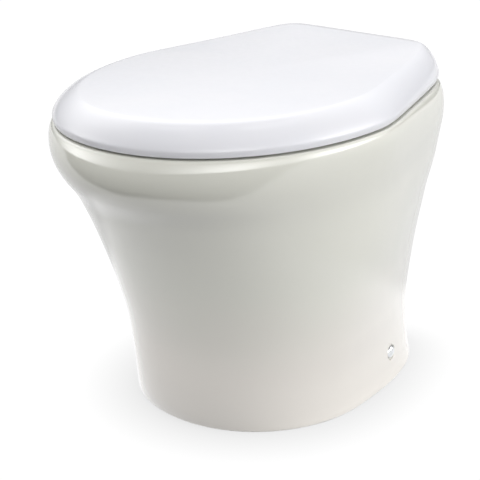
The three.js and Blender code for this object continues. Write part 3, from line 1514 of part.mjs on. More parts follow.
// Bracket that hangs from the left hinge bolt and carries the valve and the vacuum breaker
function makeValveBracket() {
  const inner = valveSide - valveBossReach - fitClearance;
  const outer = inner - valveBracketThickness;
  const tabTop = bracketTabTop;
  const tabBase = tabTop - valveBracketThickness;
  const reach = valveBracketTabReach;
  const front = breakerPlace - breakerRadius;
  const rear = hingeBoltPlace + reach;
  const wall = new THREE.Shape();
  wall.moveTo(rear - reach / 2, tabTop);
  wall.lineTo(front, tabTop);
  wall.lineTo(front, valveBracketShelf);
  wall.lineTo(valveFront + valveBossReach, valveBracketShelf - 2 * breakerRadius);
  wall.lineTo(valveFront + valveBossReach, valveBracketBottom);
  wall.lineTo(valveRear, valveBracketBottom);
  wall.lineTo(rear - reach / 2, valveBracketShelf - 2 * breakerRadius);
  const tab = block([-hingeBoltSide - reach, hingeBoltPlace - reach, tabBase], [inner, rear, tabTop]);
  const shelfEnd = breakerSide + breakerRadius + fitClearance;
  const shelfRear = breakerPlace + breakerRadius;
  const shelf = block(
    [outer, front, valveBracketShelf], [shelfEnd, shelfRear, valveBracketShelf + valveBracketThickness],
  );
  const boltHole = rod(
    hingeBoltRadius + fitClearance, tabBase - cutOverrun, tabTop + cutOverrun, smallSides,
  );
  const neckHole = rod(
    breakerNeckRadius + fitClearance, valveBracketShelf - cutOverrun, breakerBase, mediumSides,
  );
  return cut(
    join(slabAlongX(wall, outer, inner), tab, shelf),
    boltHole.translate(-hingeBoltSide, hingeBoltPlace, 0),
    neckHole.translate(breakerSide, breakerPlace, 0),
  );
}

add("valve_bracket", makeValveBracket(), steel);

// Vacuum breaker
const breaker = new THREE.Group();
breaker.position.set(breakerSide, breakerPlace, breakerBase);
toilet.add(breaker);

function makeBreakerBody() {
  const neckBase = -breakerNeckLength;
  const tip = neckBase - barbLength;
  const body = turned(
    [[0, tip], [barbRadius * 0.85, tip], [barbRadius, tip + barbLength / 3],
      [barbRadius * 0.85, tip + barbLength / 3],
      [barbRadius * 0.85, neckBase], [breakerNeckRadius, neckBase], [breakerNeckRadius, 0],
      [breakerRadius, 0],
      [breakerRadius, breakerHeight], [0, breakerHeight]],
    mediumSides,
  );
  const spout = rodAlongY(
    barbRadius, -breakerRadius - barbLength * 0.75, 0, smallSides,
  ).translate(0, 0, breakerOutletRise);
  const spoutBore = rodAlongY(
    barbBore, -breakerRadius - barbLength, 0, smallSides,
  ).translate(0, 0, breakerOutletRise);
  const inletBore = rod(barbBore, tip - cutOverrun, breakerFloor + cutOverrun, smallSides);
  const chamber = rod(breakerBore, breakerFloor, breakerHeight + cutOverrun, mediumSides);
  return cut(join(body, spout), spoutBore, inletBore, chamber);
}

function makeBreakerCap() {
  const base = breakerHeight + fitClearance;
  const top = base + breakerCapHeight;
  const cap = turned(
    [[0, base], [breakerCapRadius, base], [breakerCapRadius, top - breakerCapHeight / 3],
      [breakerCapRadius * 0.8, top], [0, top]],
    mediumSides,
  );
  const vents = [0, 1, 2, 3].map((quarter) => {
    const vent = rod(
      floatStemRadius, base - cutOverrun, top + cutOverrun, 8,
    ).translate(breakerBore * 0.65, 0, 0);
    return vent.rotateZ(((quarter + 0.5) * Math.PI) / 2);
  });
  return cut(cap, ...vents);
}

add("breaker_body", makeBreakerBody(), palePlastic, [0, 0, 0], breaker);
add("breaker_cap", makeBreakerCap(), blackPlastic, [0, 0, 0], breaker);
const float = turned(
  [[0, 0], [floatRadius, 0], [floatRadius, floatThickness], [floatStemRadius, floatThickness],
    [floatStemRadius, floatStemLength], [0, floatStemLength]],
  smallSides,
);
add("breaker_float", float, palePlastic, [0, 0, breakerFloor + fitClearance], breaker);

// Rinse hoses and the spud behind the rim
const rinseHoseBore = barbRadius + 2 * fitClearance;
const rinseHoseRadius = rinseHoseBore + rinseHoseWall;

function makeLowerHose() {
  const start = valveHeight + valveHalfHeight + fitClearance;
  const end = breakerBase - breakerNeckLength - fitClearance;
  const straight = barbLength;
  const bottom = [valveSide, outletBarbPlace, start];
  const top = [breakerSide, breakerPlace, end];
  const way = route(
    bottom,
    [valveSide, outletBarbPlace, start + straight / 2],
    [valveSide, outletBarbPlace, start + straight],
    [(valveSide + breakerSide) / 2, outletBarbPlace, (start + end) / 2],
    [breakerSide, breakerPlace, end - straight],
    [breakerSide, breakerPlace, end - straight / 2],
    top,
  );
  const wall = new THREE.Shape().absarc(0, 0, rinseHoseRadius, 0, 2 * Math.PI);
  wall.holes.push(new THREE.Path().absarc(0, 0, rinseHoseBore, 0, 2 * Math.PI, true));
  return new THREE.ExtrudeGeometry(wall, { extrudePath: way, steps: 14, curveSegments: 5 });
}

function makeUpperHose() {
  const start = rinseBossFace + fitClearance + rinseFlangeLength + fitClearance;
  const end = breakerPlace - breakerRadius - fitClearance;
  return turnedAlongY(
    [[rinseHoseBore, start], [rinseHoseRadius, start], [rinseHoseRadius, end], [rinseHoseBore, end],
      [rinseHoseBore, start]],
    smallSides,
  );
}

function makeRinseSpud() {
  const flange = rinseBossFace + fitClearance;
  const barb = flange + rinseFlangeLength;
  const tip = barb + barbLength * 0.6;
  const shank = rinseHoleRadius - fitClearance * 1.2;
  return turnedAlongY(
    [[barbBore, rinseNozzleEnd], [shank, rinseNozzleEnd], [shank, flange], [rinseFlangeRadius, flange],
      [rinseFlangeRadius, barb], [barbRadius, barb], [barbRadius * 0.85, tip], [barbBore, tip],
      [barbBore, rinseNozzleEnd]],
    smallSides,
  );
}

add("rinse_hose_lower", makeLowerHose(), rubber);
add("rinse_hose_upper", makeUpperHose(), rubber, [breakerSide, 0, rinseHeight]);
add("rinse_spud", makeRinseSpud(), brass, [breakerSide, 0, rinseHeight]);

export default toilet;
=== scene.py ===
"""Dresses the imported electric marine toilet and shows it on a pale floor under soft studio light.

Lengths here are metres, in the part's own frame: front towards -Y, floor at z = 0.
"""

import json
import math

import bmesh
import bpy
import numpy as np
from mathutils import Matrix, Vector


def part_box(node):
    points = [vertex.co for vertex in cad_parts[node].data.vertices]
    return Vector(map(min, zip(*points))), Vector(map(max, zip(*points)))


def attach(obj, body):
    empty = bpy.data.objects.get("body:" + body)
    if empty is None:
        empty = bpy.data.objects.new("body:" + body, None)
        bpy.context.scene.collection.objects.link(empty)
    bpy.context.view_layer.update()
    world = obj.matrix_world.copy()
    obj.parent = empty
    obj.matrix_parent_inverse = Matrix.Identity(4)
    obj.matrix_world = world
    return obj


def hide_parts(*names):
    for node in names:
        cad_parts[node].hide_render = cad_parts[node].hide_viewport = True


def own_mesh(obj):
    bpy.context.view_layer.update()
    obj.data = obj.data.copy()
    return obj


MM = 0.001
SIDES = (("left", -1), ("right", 1))

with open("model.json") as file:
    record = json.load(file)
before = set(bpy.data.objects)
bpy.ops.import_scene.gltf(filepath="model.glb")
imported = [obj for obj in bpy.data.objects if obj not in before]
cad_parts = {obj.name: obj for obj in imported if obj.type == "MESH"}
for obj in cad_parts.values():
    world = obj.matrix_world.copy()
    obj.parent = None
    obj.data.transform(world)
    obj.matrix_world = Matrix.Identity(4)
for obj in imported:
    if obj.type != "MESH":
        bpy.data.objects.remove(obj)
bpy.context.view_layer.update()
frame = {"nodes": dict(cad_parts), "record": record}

# Ceramic: sizes the frame gives, then the ones that shape it
CERAMIC_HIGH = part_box("ceramic_pedestal")[1]
CERAMIC_HEIGHT = CERAMIC_HIGH.z
REAR_FACE = CERAMIC_HIGH.y
RIM_HALF_WIDTH = CERAMIC_HIGH.x
WAIST_HALF_WIDTH = 137.3 * MM
FOOT_REACH = 121 * MM
FOOT_WIDEST = 32 * MM
RIM_WIDEST = -4 * MM
RIM_EDGE = 3 * MM
FOOT_EDGE = 1.5 * MM
SKIRT_WALL = 12 * MM
DECK = 18 * MM
MOUTH_HALF_WIDTH = 124 * MM
MOUTH_LENGTH = 278 * MM
MOUTH_PLACE = -47 * MM
MOUTH_EDGE = 7 * MM
BOWL_WALL = 11 * MM
OUTLET_RADIUS = 22 * MM
OUTLET_PLACE = 12 * MM
OUTLET_TOP = 112 * MM
SPUD_RADIUS = 30 * MM
SPUD_BASE = 82 * MM
SPUD_TOP = 106 * MM
SERVICE_HALF_WIDTH = 72 * MM
SERVICE_HEIGHT = 205 * MM
SERVICE_CORNER = 30 * MM
RINSE_BOSS_RADIUS = 14 * MM
RINSE_BOSS_END = 104.5 * MM
RINSE_HOLE_RADIUS = 6.6 * MM
RINSE_HOLE_END = 120 * MM
HINGE_HOLE_RADIUS = 6.5 * MM
SIDE_HOLE_RADIUS = 9.7 * MM
SIDE_HOLE_START = 110 * MM
SIDE_HOLE_END = 160 * MM

# Each row: share of the height, shares of width and reach from waist to rim, share of the rear taper
SECTION_SHARES = (
    (0, 0.1, 0, 0.09),
    (0.047, 0.026, 0.042, 0.155),
    (0.132, 0, 0.083, 0.245),
    (0.264, 0.1, 0.121, 0.33),
    (0.44, 0.34, 0.254, 0.352),
    (0.63, 0.62, 0.475, 0.333),
    (0.72, 0.71, 0.615, 0.298),
    (0.768, 0.758, 0.7, 0.285),
    (0.8, 0.797, 0.775, 0.283),
    (0.84, 0.857, 0.877, 0.283),
    (0.88, 0.918, 0.953, 0.283),
    (0.91, 0.957, 0.988, 0.288),
    (0.94, 0.987, 1, 0.298),
    (0.97, 1, 0.99, 0.315),
    (1, 0.961, 0.953, 0.34),
)
# Each row: share of the height, shares of the mouth's width and length, share of the way to the outlet
BOWL_SHARES = (
    (0.375, 0.35, 0.32, 0.9),
    (0.46, 0.55, 0.52, 0.62),
    (0.58, 0.75, 0.72, 0.32),
    (0.72, 0.92, 0.9, 0.12),
    (0.85, 1.02, 1.02, 0.02),
    (0.925, 1.03, 1.03, 0),
    (0.945, 1, 1, 0),
)
SECTION_HEIGHTS, SECTION_WIDTHS, SECTION_REACHES, SECTION_TAPERS = zip(*SECTION_SHARES)
BOWL_HEIGHTS, BOWL_WIDTHS, BOWL_LENGTHS, BOWL_SHIFTS = zip(*BOWL_SHARES)
RIM_LAND_SHARES = (0.02, 0.1, 0.35, 0.65, 0.9, 0.98)
THROAT_SHARES = (0.35, 0.7, 1)
FRONT_POWER = 2.06
FOOT_REAR_POWER = 3
RIM_REAR_POWER = 9
FOOT_TAPER_EASE = 1.5
RIM_TAPER_EASE = 0.1

# Lid
LID_LOW, LID_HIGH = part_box("lid")
LID_BASE = LID_LOW.z
LID_HALF_WIDTH = LID_HIGH.x
LID_FRONT = -LID_LOW.y
LID_REAR = 232 * MM
LID_WIDEST = -4 * MM
LID_TAPER = 0.343
LID_REAR_POWER = 13
LID_FRONT_HEIGHT = 29.6 * MM
LID_REAR_HEIGHT = 40.4 * MM
LID_SIDE_HEIGHT = 6 * MM
LID_SOFT_EDGE = 28.5 * MM
LID_REAR_SOFT_EDGE = 12.2 * MM
LID_WALL = 3.6 * MM
LID_CROWN = 3 * MM
LID_HEM = 1.2 * MM
LID_UNDERCUT = 1.6 * MM
LID_UNDERCUT_HEIGHT = 9 * MM
LID_EDGE_POWER = 1.5
LID_RISE_POWER = 3
# Where the lid's rings lie: up the soft edge, closer together at its top, then in over the crown
LID_EDGE_SHARES = np.concatenate((np.linspace(0, 0.9, 22), 1 - 0.1 * np.linspace(0.9, 0, 8) ** 2))
LID_CROWN_SHARES = np.linspace(1, 0.06, 24)[1:]

# Seat
SEAT_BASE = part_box("seat")[0].z
SEAT_THICKNESS = 13.5 * MM
SEAT_INSET = 8.6 * MM
SEAT_EDGE = 20 * MM
SEAT_REAR = 182 * MM
SEAT_TAPER = 0.29
SEAT_REAR_POWER = 5
SEAT_OPENING_HALF_WIDTH = 112 * MM
SEAT_OPENING_LENGTH = 258 * MM
SEAT_OPENING_PLACE = -49 * MM
SEAT_OPENING_ROUND = 6 * MM
SEAT_LAND_SHARES = (0.1, 0.5, 0.9)
SEAT_BLOCK_HALF_WIDTH = 69.5 * MM
SEAT_BLOCK_STEP = 0.3 * MM

# Hinge
HINGE_PLACE = 221 * MM
HINGE_HEIGHT = 353 * MM
HINGE_BARREL = 7.5 * MM
HINGE_PIN_RADIUS = 3 * MM
LUG_INSIDE = 85.5 * MM
LUG_WIDTH = 8 * MM
HEEL_GAP = 0.65 * MM
HEEL_REACH = 4 * MM
HEEL_TOP_GAP = 1.9 * MM
HEEL_OVERRUN = 4 * MM

# Side bolts and bushes
SMALL_EDGE = 0.4 * MM
SIDE_BOLT_RADIUS = 4 * MM
SIDE_BOLT_HEAD_HEIGHT = 5.5 * MM
SIDE_BOLT_BAND_SHARE = 0.3
SIDE_BUSH_FLANGE = 2.4 * MM
SIDE_BUSH_RADIUS = 9.4 * MM
SIDE_BUSH_CUP = 8.3 * MM
SIDE_BUSH_CUP_DEPTH = 2.8 * MM
SIDE_BUSH_BORE = 4.3 * MM

# Rounded edges of the other pieces
WELD = 0.002 * MM
FLAT = math.radians(0.5)
NODE_EDGE = 0.35 * MM
NODE_EDGE_STEPS = 2
BEVEL_ANGLE = math.radians(35)
KEPT_NODES = ("duckbill_valve", "shaft_seal", "chopper_blade", "discharge_elbow")

# Edges sharper than these angles, in degrees, stay sharp in the shading
SHARP_ANGLE = 35
NODE_SHARP_ANGLE = 40

# How finely each curve is cut, and how far an outline's points crowd into its rear corners
QUARTER_STEPS = 40
CORNER_CROWD = 0.15
STEPS = {
    "foot_edge": 4,
    "skirt": 90,
    "rim_edge": 7,
    "mouth_edge": 10,
    "bowl": 60,
    "underside": 30,
    "inside": 50,
    "hollow": 40,
    "arch_corner": 12,
    "lid_hem": 5,
    "lid_side": 6,
    "heel": 12,
    "half_turn": 24,
    "seat_edge": 16,
    "seat_opening": 8,
    "bolt_dome": 16,
    "bush_lip": 13,
    "rod": 48,
    "side_bolt": 72,
}

# Camera fitted to the photograph, in its pixels
PHOTO_SIZE = 480
PHOTO_FOCAL = 1316.9
PHOTO_MIDDLE = (245.83, 223.44)
CAMERA_PLACE = (0.8544, -1.1118, 0.7155)
CAMERA_TARGET = (0.0021, -0.00314, 0.19991)
SENSOR = 36


# Curves and skins
def smooth_values(places, values, at):
    """Monotone cubic through (places, values), evaluated at each place in at.

    The slope at an inner place is a weighted harmonic mean of the rises beside it, or 0 where they turn.
    """
    places, values, at = (np.asarray(a, float) for a in (places, values, at))
    gaps = np.diff(places)
    rises = np.diff(values) / gaps
    before = 2 * gaps[1:] + gaps[:-1]
    after = gaps[1:] + 2 * gaps[:-1]
    same_way = rises[:-1] * rises[1:] > 0
    safe = np.where(same_way[:, None], np.stack((rises[:-1], rises[1:]), 1), 1)
    inner = np.where(same_way, (before + after) / (before / safe[:, 0] + after / safe[:, 1]), 0)
    slopes = np.concatenate(([rises[0]], inner, [rises[-1]]))
    k = np.clip(np.searchsorted(places, at, "right") - 1, 0, len(gaps) - 1)
    t = (at - places[k]) / gaps[k]
    start = (1 + 2 * t) * (1 - t) ** 2 * values[k] + t * (1 - t) ** 2 * gaps[k] * slopes[k]
    end = t**2 * (3 - 2 * t) * values[k + 1] + t**2 * (t - 1) * gaps[k] * slopes[k + 1]
    return start + end


def outline(half_width, front, widest, rear, taper=0.0, ease=1.0, front_power=2.0, rear_power=2.0):
    """Closed outline seen from above, as x and y arrays: a superellipse in front, a tapering one behind.

    With c and s the cosine and sine, each over (c^p + s^p)^(1/p), x = half_width c (1 - taper g(s)) and
    y = widest + length s. In front g is 0. Behind, g(s) = (hypot(s, ease) - ease) / (hypot(1, ease) - ease).
    """
    turn = np.arange(-QUARTER_STEPS, QUARTER_STEPS + 1) / QUARTER_STEPS
    behind = turn > 0
    angle = math.pi / 2 * turn + np.where(behind, CORNER_CROWD * np.sin(2 * math.pi * turn), 0)
    power = np.where(behind, rear_power, front_power)
    across = np.abs(np.cos(angle))
    along = np.sin(angle)
    reach = (across**power + np.abs(along) ** power) ** (1 / power)
    run = along / reach
    eased = (np.hypot(run, ease) - ease) / (math.hypot(1, ease) - ease)
    x = half_width * across / reach * np.where(behind, 1 - taper * eased, 1)
    y = widest + np.where(behind, rear - widest, widest - front) * run
    return np.concatenate((x, -x[-2:0:-1])), np.concatenate((y, y[-2:0:-1]))


def ring(height, **form):
    """An outline as points at one height, or at one height for each point."""
    x, y = outline(**form)
    return np.stack((x, y, np.broadcast_to(height, x.shape)), 1)


def inset(form, amount, rear_amount=None):
    """The form drawn in by an amount on all sides, or by another one at the rear."""
    rear_amount = amount if rear_amount is None else rear_amount
    return {
        **form,
        "half_width": form["half_width"] - amount,
        "front": form["front"] + amount,
        "rear": form["rear"] - rear_amount,
    }


def between(first, second, shares):
    return [first + (second - first) * share for share in shares]


def quarter(steps):
    return np.linspace(0, math.pi / 2, steps)


def loft(rings, closed=False):
    """Vertices and faces of a skin over rings of equal count, capped by fans unless its ends meet."""
    rings = np.asarray(rings)
    rows, count = rings.shape[:2]
    points = rings.reshape(-1, 3)
    row = np.arange(rows if closed else rows - 1)[:, None]
    i = np.arange(count)[None, :]
    j = (i + 1) % count
    above = (row + 1) % rows
    corners = (row * count + i, row * count + j, above * count + j, above * count + i)
    quads = np.stack(corners, 2).reshape(-1, 4)
    if closed:
        return points, [quads]
    middles = np.stack((rings[0].mean(0), rings[-1].mean(0)))
    low, high = len(points), len(points) + 1
    first, second = np.arange(count), (np.arange(count) + 1) % count
    top = (rows - 1) * count
    below = np.stack((np.full(count, low), second, first), 1)
    over = np.stack((np.full(count, high), first + top, second + top), 1)
    return np.concatenate((points, middles)), [quads, np.concatenate((below, over))]


def bar(y, z, ends):
    """A side outline, given as y and z, drawn out between two places along x."""
    return loft([np.stack((np.full(len(y), x), y, z), 1) for x in ends])


def turned(profile, steps, axis, place):
    """The skin that a profile of (radius, distance along the axis) sweeps in one turn about the axis.

    A profile that starts on the axis ends there too. Any other one closes on itself.
    """
    profile = np.asarray(profile, float)
    closed = profile[0, 0] > 0
    angle = np.arange(steps) * 2 * math.pi / steps
    inner = profile if closed else profile[1:-1]
    rings = np.stack(
        (
            inner[:, :1] * np.cos(angle),
            inner[:, :1] * np.sin(angle),
            np.broadcast_to(inner[:, 1:], (len(inner), steps)),
        ),
        2,
    )
    points, faces = loft(rings, closed)
    if not closed:
        points[-2] = (0, 0, profile[0, 1])
        points[-1] = (0, 0, profile[-1, 1])
    order = {"z": (0, 1, 2), "y": (1, 2, 0), "x": (2, 0, 1)}[axis]
    return points[:, order] + np.asarray(place, float), faces


def rod(radius, low, high, axis, place):
    return turned([(0, low), (radius, low), (radius, high), (0, high)], STEPS["rod"], axis, place)


def middle(node_name):
    low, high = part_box(node_name)
    return [(a + b) / 2 for a, b in zip(low, high)]


# Objects
def make(name, points, face_sets):
    """A mesh object from an array of points and arrays of faces, each array with one corner count."""
    mesh = bpy.data.meshes.new(name)
    starts = []
    corners = []
    total = 0
    for faces in face_sets:
        starts.append(total + np.arange(len(faces)) * faces.shape[1])
        corners.append(faces.reshape(-1))
        total += faces.size
    starts = np.concatenate(starts)
    mesh.vertices.add(len(points))
    mesh.vertices.foreach_set("co", np.asarray(points, np.float32).reshape(-1))
    mesh.loops.add(total)
    mesh.loops.foreach_set("vertex_index", np.concatenate(corners).astype(np.int32))
    mesh.polygons.add(len(starts))
    mesh.polygons.foreach_set("loop_start", starts.astype(np.int32))
    mesh.update(calc_edges=True)
    mesh.validate()
    obj = bpy.data.objects.new(name, mesh)
    bpy.context.scene.collection.objects.link(obj)
    return obj


def joined(name, parts):
    """One object from several closed skins, each given as (points, faces)."""
    points = []
    face_sets = []
    offset = 0
    for part_points, part_faces in parts:
        points.append(part_points)
        face_sets.extend(faces + offset for faces in part_faces)
        offset += len(part_points)
    return make(name, np.concatenate(points), face_sets)


def carve(obj, tool, operation="DIFFERENCE"):
    """Applies a Boolean with another object, which is then removed."""
    modifier = obj.modifiers.new("carve", "BOOLEAN")
    modifier.operation = operation
    modifier.object = tool
    modifier.solver = "MANIFOLD"
    bpy.context.view_layer.objects.active = obj
    bpy.ops.object.modifier_apply(modifier=modifier.name)
    bpy.data.objects.remove(tool)


def soften(obj, angle=SHARP_ANGLE):
    """Smooth shading, apart from the edges that turn more than the angle."""
    obj.data.shade_smooth()
    obj.data.set_sharp_from_angle(angle=math.radians(angle))


def finish(obj, material_name):
    obj.data.materials.clear()
    obj.data.materials.append(MATERIALS[material_name])


def show(obj, body, material_name, *nodes):
    """Gives a new piece its finish and the body it rides on, and hides the CAD nodes that it stands for."""
    finish(obj, material_name)
    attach(obj, body)
    if nodes:
        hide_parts(*nodes)


# Materials: the pattern's values where a finish starts and stops to change, and how strongly it shows
CALM, LIVELY = 0.35, 0.65
BUMP_STRENGTH = 0.4
TINT_DRIFT = 0.25
# What each pattern is called, its scale's socket and its levels of detail
PATTERNS = {"Blotches": ("Blotch scale", 2), "Grain": ("Grain scale", 4)}
MATERIALS = {}


def add_socket(tree, name, way, kind="Float"):
    tree.interface.new_socket(name, in_out=way, socket_type="NodeSocket" + kind)


def make_grain():
    """Node group: soft blotches and fine grain over Object coordinates, each about 0 to 1.

    Both scales count features per metre, and the stretch draws them out.
    """
    tree = bpy.data.node_groups.new("surface_grain", "ShaderNodeTree")
    for name, kind in (("Blotch scale", "Float"), ("Grain scale", "Float"), ("Stretch", "Vector")):
        add_socket(tree, name, "INPUT", kind)
    start = tree.nodes.new("NodeGroupInput")
    stretched = tree.nodes.new("ShaderNodeVectorMath")
    stretched.operation = "MULTIPLY"
    tree.links.new(tree.nodes.new("ShaderNodeTexCoord").outputs["Object"], stretched.inputs[0])
    tree.links.new(start.outputs["Stretch"], stretched.inputs[1])
    for name in PATTERNS:
        add_socket(tree, name, "OUTPUT")
    end = tree.nodes.new("NodeGroupOutput")
    for name, (scale, detail) in PATTERNS.items():
        texture = tree.nodes.new("ShaderNodeTexNoise")
        texture.inputs["Detail"].default_value = detail
        tree.links.new(stretched.outputs[0], texture.inputs["Vector"])
        tree.links.new(start.outputs[scale], texture.inputs["Scale"])
        tree.links.new(texture.outputs["Fac"], end.inputs[name])
    return tree


def make_foot_tint():
    """Node group: share of the way from the ceramic's foot to its rim, which drifts with the blotches."""
    tree = bpy.data.node_groups.new("foot_tint", "ShaderNodeTree")
    add_socket(tree, "Drift", "INPUT")
    add_socket(tree, "Share", "OUTPUT")
    split = tree.nodes.new("ShaderNodeSeparateXYZ")
    tree.links.new(tree.nodes.new("ShaderNodeTexCoord").outputs["Object"], split.inputs[0])
    height = tree.nodes.new("ShaderNodeMapRange")
    height.inputs["From Max"].default_value = CERAMIC_HEIGHT
    tree.links.new(split.outputs["Z"], height.inputs["Value"])
    blend = tree.nodes.new("ShaderNodeMath")
    blend.operation = "MULTIPLY_ADD"
    blend.inputs[1].default_value = TINT_DRIFT
    tree.links.new(tree.nodes.new("NodeGroupInput").outputs["Drift"], blend.inputs[0])
    tree.links.new(height.outputs[0], blend.inputs[2])
    tree.links.new(blend.outputs[0], tree.nodes.new("NodeGroupOutput").inputs["Share"])
    return tree


GRAIN = make_grain()
FOOT_TINT = make_foot_tint()


def placed_group(tree, group):
    node = tree.nodes.new("ShaderNodeGroup")
    node.node_tree = group
    return node


def surface(name, dark, light, smooth, rough, blotch, grain, depth, stretch=(1, 1, 1), tint=None):
    """Colour and roughness that drift between two values with the pattern, over a fine bump of its grain."""
    material = bpy.data.materials.new(name)
    MATERIALS[name] = material
    material.use_nodes = True
    tree = material.node_tree
    shader = tree.nodes["Principled BSDF"]
    pattern = placed_group(tree, GRAIN)
    for socket, value in (("Blotch scale", blotch), ("Grain scale", grain), ("Stretch", stretch)):
        pattern.inputs[socket].default_value = value
    drift = pattern.outputs["Blotches"]
    if tint:
        tinted = placed_group(tree, tint)
        tree.links.new(drift, tinted.inputs["Drift"])
        drift = tinted.outputs["Share"]
    colours = tree.nodes.new("ShaderNodeValToRGB")
    for stop, place, colour in zip(colours.color_ramp.elements, (CALM, LIVELY), (dark, light)):
        stop.position = place
        stop.color = (*colour, 1)
    tree.links.new(drift, colours.inputs["Fac"])
    tree.links.new(colours.outputs["Color"], shader.inputs["Base Color"])
    roughness = tree.nodes.new("ShaderNodeMapRange")
    for socket, value in (("From Min", CALM), ("From Max", LIVELY), ("To Min", smooth), ("To Max", rough)):
        roughness.inputs[socket].default_value = value
    tree.links.new(pattern.outputs["Grain"], roughness.inputs["Value"])
    tree.links.new(roughness.outputs["Result"], shader.inputs["Roughness"])
    bump = tree.nodes.new("ShaderNodeBump")
    bump.inputs["Strength"].default_value = BUMP_STRENGTH
    bump.inputs["Distance"].default_value = depth
    tree.links.new(pattern.outputs["Grain"], bump.inputs["Height"])
    tree.links.new(bump.outputs["Normal"], shader.inputs["Normal"])
    return shader


def metal(name, **finish_values):
    surface(name, **finish_values).inputs["Metallic"].default_value = 1


def make_glaze():
    """Fired glaze: a clear coat over a white body, warmer at the foot and a little greener at the rim."""
    shader = surface(
        "glaze",
        dark=(0.85, 0.81, 0.755),
        light=(0.84, 0.84, 0.765),
        smooth=0.1,
        rough=0.14,
        blotch=6,
        grain=30,
        depth=0.12 * MM,
        tint=FOOT_TINT,
    )
    shader.inputs["Coat Weight"].default_value = 1
    shader.inputs["Coat Roughness"].default_value = 0.03


def make_white_plastic():
    """Gloss thermoset of the lid and seat, with a faint orange peel."""
    surface(
        "white_plastic",
        dark=(0.85, 0.855, 0.9),
        light=(0.87, 0.87, 0.91),
        smooth=0.13,
        rough=0.19,
        blotch=12,
        grain=140,
        depth=0.03 * MM,
    )


def make_pale_plastic():
    """Moulded nylon of the bushes, the water valve and the breaker."""
    surface(
        "pale_plastic",
        dark=(0.68, 0.67, 0.62),
        light=(0.76, 0.76, 0.72),
        smooth=0.34,
        rough=0.46,
        blotch=60,
        grain=1800,
        depth=0.05 * MM,
    )


def make_black_plastic():
    """Moulded plastic of the pump, with a fine spark-eroded texture."""
    surface(
        "black_plastic",
        dark=(0.016, 0.016, 0.018),
        light=(0.03, 0.03, 0.033),
        smooth=0.34,
        rough=0.5,
        blotch=45,
        grain=1500,
        depth=0.08 * MM,
    )


def make_rubber():
    """Matt rubber with a bloom of paler patches."""
    surface(
        "rubber",
        dark=(0.014, 0.014, 0.014),
        light=(0.04, 0.039, 0.037),
        smooth=0.6,
        rough=0.8,
        blotch=50,
        grain=900,
        depth=0.1 * MM,
    )


def make_chrome():
    """Bright plating of the side bolts."""
    metal(
        "chrome",
        dark=(0.7, 0.71, 0.73),
        light=(0.8, 0.81, 0.82),
        smooth=0.05,
        rough=0.09,
        blotch=180,
        grain=400,
        depth=0.01 * MM,
    )


def make_steel():
    """Brushed stainless steel, with its grain drawn out along x."""
    metal(
        "steel",
        dark=(0.42, 0.43, 0.44),
        light=(0.58, 0.585, 0.59),
        smooth=0.22,
        rough=0.4,
        blotch=25,
        grain=160,
        depth=0.02 * MM,
        stretch=(1, 12, 12),
    )


def make_painted_metal():
    """Dark stove enamel of the motor, with a fine peel."""
    shader = surface(
        "painted_metal",
        dark=(0.022, 0.026, 0.032),
        light=(0.042, 0.048, 0.055),
        smooth=0.3,
        rough=0.45,
        blotch=35,
        grain=700,
        depth=0.06 * MM,
    )
    shader.inputs["Coat Weight"].default_value = 0.3


def make_brass():
    """Machined brass of the rinse spud and the inlet strainer."""
    metal(
        "brass",
        dark=(0.5, 0.33, 0.13),
        light=(0.68, 0.5, 0.23),
        smooth=0.2,
        rough=0.36,
        blotch=90,
        grain=500,
        depth=0.02 * MM,
    )


make_glaze()
make_white_plastic()
make_pale_plastic()
make_black_plastic()
make_rubber()
make_chrome()
make_steel()
make_painted_metal()
make_brass()


# Ceramic bowl
def skirt_form(height):
    """The pedestal's outside at a height.

    Width, reach and taper follow monotone cubics through the sections' shares. The widest place and the
    rear's power run evenly from foot to rim, and the taper's ease falls by one factor over equal heights.
    """
    share = height / CERAMIC_HEIGHT
    width = smooth_values(SECTION_HEIGHTS, SECTION_WIDTHS, share)
    reach = smooth_values(SECTION_HEIGHTS, SECTION_REACHES, share)
    return {
        "half_width": WAIST_HALF_WIDTH + (RIM_HALF_WIDTH - WAIST_HALF_WIDTH) * width,
        "front": -(FOOT_REACH + (REAR_FACE - FOOT_REACH) * reach),
        "widest": FOOT_WIDEST + (RIM_WIDEST - FOOT_WIDEST) * share,
        "rear": REAR_FACE,
        "taper": smooth_values(SECTION_HEIGHTS, SECTION_TAPERS, share),
        "ease": FOOT_TAPER_EASE * (RIM_TAPER_EASE / FOOT_TAPER_EASE) ** share,
        "front_power": FRONT_POWER,
        "rear_power": FOOT_REAR_POWER + (RIM_REAR_POWER - FOOT_REAR_POWER) * share,
    }


def bowl_form(height, wall=0.0):
    """The bowl's inside at a height, or the skin one wall outside it: an ellipse.

    Its width, length and place follow monotone cubics through the bowl's shares.
    """
    share = height / CERAMIC_HEIGHT
    place = MOUTH_PLACE + (OUTLET_PLACE - MOUTH_PLACE) * smooth_values(BOWL_HEIGHTS, BOWL_SHIFTS, share)
    half = MOUTH_LENGTH / 2 * smooth_values(BOWL_HEIGHTS, BOWL_LENGTHS, share) + wall
    width = MOUTH_HALF_WIDTH * smooth_values(BOWL_HEIGHTS, BOWL_WIDTHS, share) + wall
    return {"half_width": width, "front": place - half, "widest": place, "rear": place + half}


def circle_form(radius, place):
    return {"half_width": radius, "front": place - radius, "widest": place, "rear": place + radius}


